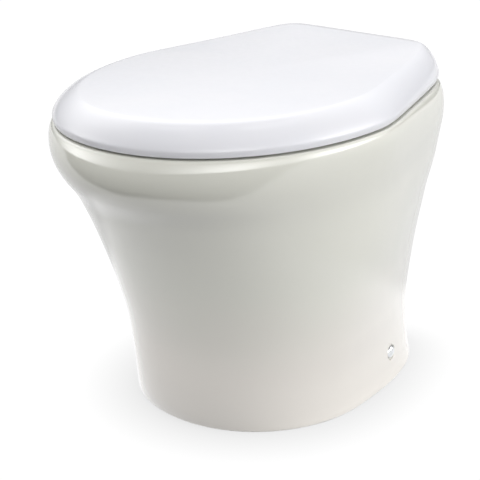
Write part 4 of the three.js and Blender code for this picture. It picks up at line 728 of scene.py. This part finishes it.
def ceramic_skin():
    """One closed skin: outside wall, rim, inner bowl, outlet, the bowl's underside, deck and inside wall.

    The edges of foot, rim and mouth are quarter circles: at an angle a, a ring lies radius (1 - cos a) in.
    """
    rings = []
    for turn in quarter(STEPS["foot_edge"])[::-1]:
        foot = inset(skirt_form(0), FOOT_EDGE * (1 - math.cos(turn)))
        rings.append(ring(FOOT_EDGE * (1 - math.sin(turn)), **foot))
    edge_top = CERAMIC_HEIGHT - RIM_EDGE
    rings += [ring(z, **skirt_form(z)) for z in np.linspace(FOOT_EDGE, edge_top, STEPS["skirt"])[1:]]
    for turn in quarter(STEPS["rim_edge"])[1:]:
        z = edge_top + RIM_EDGE * math.sin(turn)
        rings.append(ring(z, **inset(skirt_form(z), RIM_EDGE * (1 - math.cos(turn)))))
    mouth = bowl_form(CERAMIC_HEIGHT * BOWL_HEIGHTS[-1])
    lip = ring(CERAMIC_HEIGHT, **inset(mouth, -MOUTH_EDGE))
    rings += between(rings[-1], lip, RIM_LAND_SHARES)
    for turn in quarter(STEPS["mouth_edge"])[::-1]:
        z = CERAMIC_HEIGHT - MOUTH_EDGE * (1 - math.sin(turn))
        rings.append(ring(z, **inset(mouth, -MOUTH_EDGE * (1 - math.cos(turn)))))
    heights = np.linspace(BOWL_HEIGHTS[-1], BOWL_HEIGHTS[0], STEPS["bowl"]) * CERAMIC_HEIGHT
    rings += [ring(z, **bowl_form(z)) for z in heights]
    throat = ring(OUTLET_TOP, **circle_form(OUTLET_RADIUS, OUTLET_PLACE))
    rings += between(rings[-1], throat, THROAT_SHARES)
    rings.append(ring(SPUD_BASE, **circle_form(OUTLET_RADIUS, OUTLET_PLACE)))
    rings.append(ring(SPUD_BASE, **circle_form(SPUD_RADIUS, OUTLET_PLACE)))
    rings.append(ring(SPUD_TOP, **circle_form(SPUD_RADIUS, OUTLET_PLACE)))
    heights = np.linspace(BOWL_HEIGHTS[0], BOWL_HEIGHTS[-3], STEPS["underside"]) * CERAMIC_HEIGHT
    rings += [ring(z - BOWL_WALL / 2, **bowl_form(z, BOWL_WALL)) for z in heights]
    underside = CERAMIC_HEIGHT - DECK
    rings.append(ring(underside, **inset(mouth, -BOWL_WALL)))
    heights = np.linspace(underside, 0, STEPS["inside"])
    rings += [ring(z, **inset(skirt_form(z), SKIRT_WALL)) for z in heights]
    return loft(rings, closed=True)


def arch_tool():
    """The service opening's cutter: an upright arch that runs through the rear wall."""
    corner = SERVICE_HALF_WIDTH - SERVICE_CORNER
    top = SERVICE_HEIGHT - SERVICE_CORNER
    arc = quarter(STEPS["arch_corner"])
    x = np.concatenate((corner + SERVICE_CORNER * np.cos(arc), -corner - SERVICE_CORNER * np.sin(arc)))
    z = np.concatenate((top + SERVICE_CORNER * np.sin(arc), top + SERVICE_CORNER * np.cos(arc)))
    x = np.concatenate(([SERVICE_HALF_WIDTH], x, [-SERVICE_HALF_WIDTH]))
    z = np.concatenate(([-SKIRT_WALL], z, [-SKIRT_WALL]))
    ends = (REAR_FACE + SKIRT_WALL, REAR_FACE - 3 * SKIRT_WALL)
    return loft([np.stack((x, np.full(len(x), y), z), 1) for y in ends])


def rinse_boss(place):
    """The boss that carries the rinse spud, cut off halfway through the bowl's wall."""
    boss = make("boss", *rod(RINSE_BOSS_RADIUS, 0, RINSE_BOSS_END, "y", place))
    heights = CERAMIC_HEIGHT * np.linspace(BOWL_HEIGHTS[0], 1, STEPS["hollow"])
    hollow = [ring(z, **bowl_form(z, BOWL_WALL / 2)) for z in heights]
    carve(boss, make("hollow", *loft(hollow)))
    return boss


def ceramic_holes(rinse_place):
    """Cutters of the service opening and of the holes for the rinse spud, hinge bolts and side bushes."""
    tools = [arch_tool(), rod(RINSE_HOLE_RADIUS, 0, RINSE_HOLE_END, "y", rinse_place)]
    for name, side in SIDES:
        x, y = middle("hinge_bolt_" + name)[:2]
        top = CERAMIC_HEIGHT + DECK
        tools.append(rod(HINGE_HOLE_RADIUS, CERAMIC_HEIGHT - 2 * DECK, top, "z", (x, y, 0)))
        y, z = middle("side_bush_" + name)[1:]
        near, far = sorted((side * SIDE_HOLE_START, side * SIDE_HOLE_END))
        tools.append(rod(SIDE_HOLE_RADIUS, near, far, "x", (0, y, z)))
    return joined("holes", tools)


def make_ceramic():
    """The bowl and pedestal in one glazed piece."""
    bowl = make("ceramic", *ceramic_skin())
    x, y, z = middle("rinse_spud")
    rinse_place = (x, 0, z)
    carve(bowl, rinse_boss(rinse_place), "UNION")
    carve(bowl, ceramic_holes(rinse_place))
    soften(bowl)
    show(bowl, "base", "glaze", "ceramic_pedestal", "ceramic_bowl")


# Lid
LID_FORM = {
    "half_width": LID_HALF_WIDTH,
    "front": -LID_FRONT,
    "widest": LID_WIDEST,
    "rear": LID_REAR,
    "taper": LID_TAPER,
    "ease": RIM_TAPER_EASE,
    "front_power": FRONT_POWER,
    "rear_power": LID_REAR_POWER,
}


def lid_thickness(y):
    """The lid's height over its foot, which rises towards the back as a power of the share of its length."""
    share = np.clip((y + LID_FRONT) / (LID_FRONT + LID_REAR), 0, 1)
    return LID_FRONT_HEIGHT + (LID_REAR_HEIGHT - LID_FRONT_HEIGHT) * share**LID_RISE_POWER


def undercut(rise):
    """How far the lid's side leans in at a rise over its foot: a parabola down to nothing."""
    return LID_UNDERCUT * max(0, 1 - rise / LID_UNDERCUT_HEIGHT) ** 2


def lid_rings(wall):
    """Rings of the lid's outer skin, or of the inner skin one wall inside it, from the side up to the crown.

    Over the soft edge, a ring at share s of the height lies 1 - (1 - s^p)^(1/p) of the edge's reach inside.
    Over the crown, a ring at share s of the width lies 1 - s^2 of the crown's height up.
    """
    outer = inset(LID_FORM, wall)
    side = LID_BASE + LID_SIDE_HEIGHT
    rings = []
    for share in LID_EDGE_SHARES:
        soft = 1 - (1 - share**LID_EDGE_POWER) ** (1 / LID_EDGE_POWER)
        lean = undercut(LID_SIDE_HEIGHT + (LID_FRONT_HEIGHT - LID_SIDE_HEIGHT) * share)
        x, y = outline(**inset(outer, LID_SOFT_EDGE * soft + lean, LID_REAR_SOFT_EDGE * soft + lean))
        top = LID_BASE + lid_thickness(y) - wall
        rings.append(np.stack((x, y, side + (top - side) * share), 1))
    top_form = inset(outer, LID_SOFT_EDGE, LID_REAR_SOFT_EDGE)
    for share in LID_CROWN_SHARES:
        lengths = {name: top_form[name] * share for name in ("half_width", "front", "rear", "widest")}
        x, y = outline(**{**top_form, **lengths})
        z = LID_BASE + lid_thickness(y) - wall + LID_CROWN * (1 - share**2)
        rings.append(np.stack((x, y, z), 1))
    return rings


def heel_tool():
    """What the lid leaves out to turn clear of the deck: all behind its axis and outside an arc about it."""
    radius = HINGE_HEIGHT - CERAMIC_HEIGHT - HEEL_GAP
    arc = np.linspace(-math.acos(HEEL_REACH / radius), -math.pi / 2, STEPS["heel"])
    top = HINGE_HEIGHT + HINGE_BARREL + HEEL_TOP_GAP
    back = LID_REAR + HEEL_OVERRUN
    low = LID_BASE - HEEL_OVERRUN
    start = HINGE_PLACE + HEEL_REACH
    y = np.concatenate((HINGE_PLACE + radius * np.cos(arc), [HINGE_PLACE, back, back, start]))
    z = np.concatenate((HINGE_HEIGHT + radius * np.sin(arc), [low, low, top, top]))
    return bar(y, z, (-LID_HALF_WIDTH, LID_HALF_WIDTH))


def lug_skin(side):
    """A lug under the lid's rear edge: half a circle about the hinge axis, and straight slopes over it."""
    arc = np.linspace(math.pi, 2 * math.pi, STEPS["half_turn"])
    top = LID_BASE + LID_REAR_HEIGHT - LID_WALL / 2
    slope = np.array((HINGE_BARREL - LID_WALL, HINGE_PIN_RADIUS, -HINGE_BARREL))
    y = np.concatenate((HINGE_PLACE + HINGE_BARREL * np.cos(arc), HINGE_PLACE + slope))
    z = np.concatenate((HINGE_HEIGHT + HINGE_BARREL * np.sin(arc), [top - LID_WALL, top, top]))
    return bar(y, z, sorted((side * LUG_INSIDE, side * (LUG_INSIDE + LUG_WIDTH))))


def make_lid():
    """The lid's shell with its rolled hem, and a lug at each side for the hinge pins."""
    foot = []
    for turn in quarter(STEPS["lid_hem"])[::-1]:
        foot.append((LID_HEM * (1 - math.sin(turn)), LID_HEM * (1 - math.cos(turn))))
    foot += [(rise, 0) for rise in np.linspace(LID_HEM, LID_SIDE_HEIGHT, STEPS["lid_side"])[1:-1]]
    side_rings = [ring(LID_BASE + rise, **inset(LID_FORM, back + undercut(rise))) for rise, back in foot]
    inner_foot = ring(LID_BASE, **inset(LID_FORM, LID_WALL + undercut(0)))
    lid = make("lid_shell", *loft(lid_rings(LID_WALL)[::-1] + [inner_foot] + side_rings + lid_rings(0)))
    carve(lid, make("heel", *heel_tool()))
    soften(lid)
    show(lid, "lid", "white_plastic", "lid")
    for name, side in SIDES:
        lug = make("lid_lug_" + name, *lug_skin(side))
        carve(lug, make("outside", *loft(side_rings + lid_rings(0))), "INTERSECT")
        soften(lug)
        show(lug, "lid", "white_plastic")


# Seat
SEAT_FORM = {
    **inset(LID_FORM, SEAT_INSET),
    "rear": SEAT_REAR,
    "rear_power": SEAT_REAR_POWER,
    "taper": SEAT_TAPER,
}
SEAT_TOP = SEAT_BASE + SEAT_THICKNESS


def make_seat():
    """The seat ring: an outer edge that is a quarter of an ellipse, a flat land and a rounded opening."""
    half = SEAT_OPENING_LENGTH / 2
    opening = {
        "half_width": SEAT_OPENING_HALF_WIDTH,
        "front": SEAT_OPENING_PLACE - half,
        "widest": SEAT_OPENING_PLACE,
        "rear": SEAT_OPENING_PLACE + half,
    }
    rings = []
    for turn in quarter(STEPS["seat_edge"]):
        z = SEAT_BASE + SEAT_THICKNESS * math.sin(turn)
        rings.append(ring(z, **inset(SEAT_FORM, SEAT_EDGE * (1 - math.cos(turn)))))
    lip = ring(SEAT_TOP, **inset(opening, -SEAT_OPENING_ROUND))
    rings += between(rings[-1], lip, SEAT_LAND_SHARES)
    for turn in quarter(STEPS["seat_opening"])[::-1]:
        z = SEAT_TOP - SEAT_OPENING_ROUND * (1 - math.sin(turn))
        rings.append(ring(z, **inset(opening, -SEAT_OPENING_ROUND * (1 - math.cos(turn)))))
    rings.append(ring(SEAT_BASE, **opening))
    seat = make("seat_ring", *loft(rings, closed=True))
    soften(seat)
    show(seat, "seat", "white_plastic", "seat")


def make_seat_block():
    """The block behind the seat ring, which ends in half a circle about the hinge axis."""
    arc = np.linspace(-math.pi / 2, math.pi / 2, STEPS["half_turn"])
    start = SEAT_REAR - SEAT_EDGE
    ends = [SEAT_TOP - SEAT_BLOCK_STEP, HINGE_HEIGHT - HINGE_BARREL]
    y = np.concatenate((HINGE_PLACE + HINGE_BARREL * np.cos(arc), [start, start]))
    z = np.concatenate((HINGE_HEIGHT + HINGE_BARREL * np.sin(arc), ends))
    block = make("seat_block", *bar(y, z, (-SEAT_BLOCK_HALF_WIDTH, SEAT_BLOCK_HALF_WIDTH)))
    soften(block)
    show(block, "seat", "white_plastic")


# Side bolts and bushes
def across_wall(node_name):
    """A piece that crosses the side wall: its near and far reach, its radius and the place of its axis."""
    low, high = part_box(node_name)
    near, far = sorted((abs(low.x), abs(high.x)))
    return near, far, (high.z - low.z) / 2, (0, *middle(node_name)[1:])


def sideways(profile, side):
    """The profile of (radius, distance along x), mirrored for the left side with its skin facing out."""
    return profile if side > 0 else [(radius, -distance) for radius, distance in reversed(profile)]


def make_side_bolt(name, side):
    """A chrome dome-headed bolt: shank, short straight band, and a dome that is a quarter of an ellipse."""
    tip, reach, head, place = across_wall(name)
    base = reach - SIDE_BOLT_HEAD_HEIGHT
    band = base + SIDE_BOLT_HEAD_HEIGHT * SIDE_BOLT_BAND_SHARE
    shank = SIDE_BOLT_RADIUS
    profile = [(0, tip), (shank - SMALL_EDGE, tip), (shank, tip + SMALL_EDGE), (shank, base)]
    profile += [(head - SMALL_EDGE, base), (head, base + SMALL_EDGE)]
    for turn in quarter(STEPS["bolt_dome"])[:-1]:
        profile.append((head * math.cos(turn), band + (reach - band) * math.sin(turn)))
    profile.append((0, reach))
    bolt = make(name + "_domed", *turned(sideways(profile, side), STEPS["side_bolt"], "x", place))
    soften(bolt)
    show(bolt, "base", "chrome", name)


def make_side_bush(name, side):
    """A plastic bush: flange inside the wall, sleeve through it, and a round-lipped cup for the bolt."""
    flange_face, reach, flange, place = across_wall(name)
    shoulder = flange_face + SIDE_BUSH_FLANGE
    seat = reach - SIDE_BUSH_CUP_DEPTH
    lip = (SIDE_BUSH_RADIUS - SIDE_BUSH_CUP) / 2
    lip_middle = SIDE_BUSH_CUP + lip
    profile = [
        (SIDE_BUSH_BORE, flange_face),
        (flange - SMALL_EDGE, flange_face),
        (flange, flange_face + SMALL_EDGE),
        (flange, shoulder - SMALL_EDGE),
        (flange - SMALL_EDGE, shoulder),
        (SIDE_BUSH_RADIUS, shoulder),
    ]
    for turn in np.linspace(0, math.pi, STEPS["bush_lip"]):
        profile.append((lip_middle + lip * math.cos(turn), reach - lip + lip * math.sin(turn)))
    profile += [(SIDE_BUSH_CUP, seat), (SIDE_BUSH_BORE, seat)]
    bush = make(name + "_lipped", *turned(sideways(profile, side), STEPS["side_bolt"], "x", place))
    soften(bush)
    show(bush, "base", "pale_plastic", name)


# The pieces that keep the CAD's shape
def edged_copy(node, body, material_name):
    """A finer copy of a CAD piece: triangles merged to flat faces, and edges rounded by a small bevel."""
    mesh = node.data.copy()
    work = bmesh.new()
    work.from_mesh(mesh)
    bmesh.ops.remove_doubles(work, verts=work.verts, dist=WELD)
    bmesh.ops.dissolve_limit(work, angle_limit=FLAT, verts=work.verts, edges=work.edges)
    work.to_mesh(mesh)
    work.free()
    copy = bpy.data.objects.new(node.name + "_edged", mesh)
    bpy.context.scene.collection.objects.link(copy)
    bevel = copy.modifiers.new("edges", "BEVEL")
    bevel.width = NODE_EDGE
    bevel.segments = NODE_EDGE_STEPS
    bevel.angle_limit = BEVEL_ANGLE
    bevel.use_clamp_overlap = True
    bpy.context.view_layer.objects.active = copy
    bpy.ops.object.modifier_apply(modifier=bevel.name)
    soften(copy, NODE_SHARP_ANGLE)
    show(copy, body, material_name, node.name)


def make_valve_spring():
    """The water valve's coil spring: a smooth-shaded copy of the CAD's mesh, carried by the base."""
    spring = bpy.data.objects.new("valve_spring_coil", frame["nodes"]["valve_spring"].data.copy())
    bpy.context.scene.collection.objects.link(spring)
    soften(spring, NODE_SHARP_ANGLE)
    show(spring, "base", "steel", "valve_spring")
    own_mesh(spring)


def dress_remaining():
    """Gives every CAD node that still shows its finish and smooth shading, most of them as an edged copy."""
    bodies = {}
    for body, names in frame["record"]["behaviour"]["bodies"].items():
        bodies.update(dict.fromkeys(names, body))
    for entry in frame["record"]["subparts"]:
        name = entry["node"]
        node = frame["nodes"][name]
        if node.hide_render:
            continue
        if name in KEPT_NODES:
            finish(node, entry["material_slot"])
            soften(node, NODE_SHARP_ANGLE)
        else:
            edged_copy(node, bodies[name], entry["material_slot"])


make_ceramic()
make_lid()
make_seat()
make_seat_block()
for side_name, side in SIDES:
    make_side_bolt("side_bolt_" + side_name, side)
    make_side_bush("side_bush_" + side_name, side)
make_valve_spring()
dress_remaining()


# Floor
FLOOR_REACH = 40
FLOOR_BRIGHT = 1.04
CONTACT_REACH = 0.09
CONTACT_SHADE = 0.62
CONTACT_SAMPLES = 32

# What the glossy pieces see of the floor: one glow near the part, another behind it, and none in front
NEAR_GLOW = 1.07
REAR_GLOW = 0.82
NEAR_FLOOR = 0.37
REAR_WAY = (-0.18, 0.98, 0)
REAR_START = -0.31
FLOOR_BLUR = 0.03

# Soft lights round the part, on an even sky: azimuth and elevation in degrees, and how strong
SKY = 0.18
LIGHTS = (
    (30, 8, 6),
    (330, 8, 3.8),
    (300, 8, 1.4),
    (240, 8, 0.9),
    (210, 8, 3.3),
    (180, 40, 1.9),
    (135, 40, 2.8),
    (90, 40, 1),
)
LIGHT_POWER = 14
HORIZON_BLUR = 0.03

# Strips overhead: where each starts and ends, its width and its power
STRIP_HEIGHT = 1.9
STRIPS = {
    "strip_left": ((-0.51, -0.2), (-0.16, 0.05), 0.07, 0.45),
    "strip_right": ((0.2, 0.22), (0.36, 0.86), 0.06, 0.6),
    "strip_front": ((0.26, -0.9), (0.36, -0.84), 0.05, 0.1),
}


def math_node(tree, operation, first, second):
    """One Math node. Each input is a socket or a number."""
    node = tree.nodes.new("ShaderNodeMath")
    node.operation = operation
    for socket, value in zip(node.inputs, (first, second)):
        if isinstance(value, bpy.types.NodeSocket):
            tree.links.new(value, socket)
        else:
            socket.default_value = value
    return node.outputs[0]


def dot_node(tree, direction, way):
    node = tree.nodes.new("ShaderNodeVectorMath")
    node.operation = "DOT_PRODUCT"
    node.inputs[1].default_value = way
    tree.links.new(direction, node.inputs[0])
    return node.outputs["Value"]


def ramp(tree, value, middle_value, blur):
    """Smooth rise from 0 to 1, one blur to either side of the middle value."""
    node = tree.nodes.new("ShaderNodeMapRange")
    node.interpolation_type = "SMOOTHSTEP"
    node.inputs["From Min"].default_value = middle_value - blur
    node.inputs["From Max"].default_value = middle_value + blur
    tree.links.new(value, node.inputs["Value"])
    return node.outputs[0]


def floor_glow(tree):
    """Brightness that reflections see on the floor: bright near the part and behind it, dark in front."""
    place = tree.nodes.new("ShaderNodeNewGeometry").outputs["Position"]
    distance = tree.nodes.new("ShaderNodeVectorMath")
    distance.operation = "LENGTH"
    tree.links.new(place, distance.inputs[0])
    far = ramp(tree, distance.outputs["Value"], NEAR_FLOOR, FLOOR_BLUR)
    behind = ramp(tree, dot_node(tree, place, REAR_WAY), REAR_START, FLOOR_BLUR)
    near_glow = math_node(tree, "MULTIPLY", math_node(tree, "SUBTRACT", 1, far), NEAR_GLOW)
    rear_glow = math_node(tree, "MULTIPLY", math_node(tree, "MULTIPLY", far, behind), REAR_GLOW)
    return math_node(tree, "ADD", near_glow, rear_glow)


def make_floor():
    """A pale floor that glows, with a soft painted contact shadow where ambient occlusion darkens the glow
    near the part. It throws no diffuse light back up at the part, but reflections there see a painted glow
    on it.
    """
    mesh = bpy.data.meshes.new("floor")
    reach = FLOOR_REACH
    corners = [(-reach, -reach, 0), (reach, -reach, 0), (reach, reach, 0), (-reach, reach, 0)]
    mesh.from_pydata(corners, [], [(0, 1, 2, 3)])
    obj = bpy.data.objects.new("floor", mesh)
    bpy.context.scene.collection.objects.link(obj)
    material = bpy.data.materials.new("floor")
    material.use_nodes = True
    tree = material.node_tree
    tree.nodes.remove(tree.nodes["Principled BSDF"])
    # Painted contact shadow: the glow the camera sees is darker where ambient occlusion finds the part close
    # by
    contact = tree.nodes.new("ShaderNodeAmbientOcclusion")
    contact.samples = CONTACT_SAMPLES
    contact.inputs["Distance"].default_value = CONTACT_REACH
    shade = math_node(tree, "MULTIPLY", contact.outputs["AO"], FLOOR_BRIGHT - CONTACT_SHADE)
    seen = tree.nodes.new("ShaderNodeEmission")
    tree.links.new(math_node(tree, "ADD", shade, CONTACT_SHADE), seen.inputs["Strength"])
    mirrored = tree.nodes.new("ShaderNodeEmission")
    tree.links.new(floor_glow(tree), mirrored.inputs["Strength"])
    mix = tree.nodes.new("ShaderNodeMixShader")
    tree.links.new(tree.nodes.new("ShaderNodeLightPath").outputs["Is Camera Ray"], mix.inputs[0])
    tree.links.new(mirrored.outputs[0], mix.inputs[1])
    tree.links.new(seen.outputs[0], mix.inputs[2])
    tree.links.new(mix.outputs[0], tree.nodes["Material Output"].inputs["Surface"])
    mesh.materials.append(material)
    obj.visible_diffuse = False


# Light
def light_world():
    """A studio of soft lights on a dim ground: each is the cosine to its way, to a power, with no edge."""
    world = bpy.data.worlds.new("world")
    bpy.context.scene.world = world
    world.use_nodes = True
    tree = world.node_tree
    direction = tree.nodes.new("ShaderNodeTexCoord").outputs["Generated"]
    total = SKY
    for azimuth, elevation, strength in LIGHTS:
        turn, rise = math.radians(azimuth), math.radians(elevation)
        way = (math.cos(rise) * math.cos(turn), math.cos(rise) * math.sin(turn), math.sin(rise))
        facing = math_node(tree, "MAXIMUM", dot_node(tree, direction, way), 0)
        lit = math_node(tree, "POWER", facing, LIGHT_POWER)
        total = math_node(tree, "ADD", total, math_node(tree, "MULTIPLY", lit, strength))
    split = tree.nodes.new("ShaderNodeSeparateXYZ")
    tree.links.new(direction, split.inputs[0])
    background = tree.nodes["Background"]
    tree.links.new(total, background.inputs["Color"])
    tree.links.new(ramp(tree, split.outputs["Z"], 0, HORIZON_BLUR), background.inputs["Strength"])


def add_strip(name, start, end, width, power):
    """A narrow lamp overhead that faces straight down, seen as a streak in the glossy shoulders."""
    light = bpy.data.lights.new(name, "AREA")
    light.shape = "RECTANGLE"
    light.size = math.dist(start, end)
    light.size_y = width
    light.energy = power
    obj = bpy.data.objects.new(name, light)
    obj.location = ((start[0] + end[0]) / 2, (start[1] + end[1]) / 2, STRIP_HEIGHT)
    obj.rotation_euler = (0, 0, math.atan2(end[1] - start[1], end[0] - start[0]))
    bpy.context.scene.collection.objects.link(obj)


# Camera
def add_camera():
    """The photograph's camera, with its picture shifted as the photograph's middle is."""
    data = bpy.data.cameras.new("camera")
    data.sensor_width = SENSOR
    data.lens = PHOTO_FOCAL / PHOTO_SIZE * SENSOR
    data.shift_x = (PHOTO_SIZE / 2 - PHOTO_MIDDLE[0]) / PHOTO_SIZE
    data.shift_y = (PHOTO_MIDDLE[1] - PHOTO_SIZE / 2) / PHOTO_SIZE
    obj = bpy.data.objects.new("camera", data)
    obj.location = CAMERA_PLACE
    view = Vector(CAMERA_TARGET) - Vector(CAMERA_PLACE)
    obj.rotation_euler = view.to_track_quat("-Z", "Y").to_euler()
    bpy.context.scene.collection.objects.link(obj)
    bpy.context.scene.camera = obj


make_floor()
light_world()
for strip_name, strip in STRIPS.items():
    add_strip(strip_name, *strip)
add_camera()
bpy.context.scene.view_settings.view_transform = "Standard"
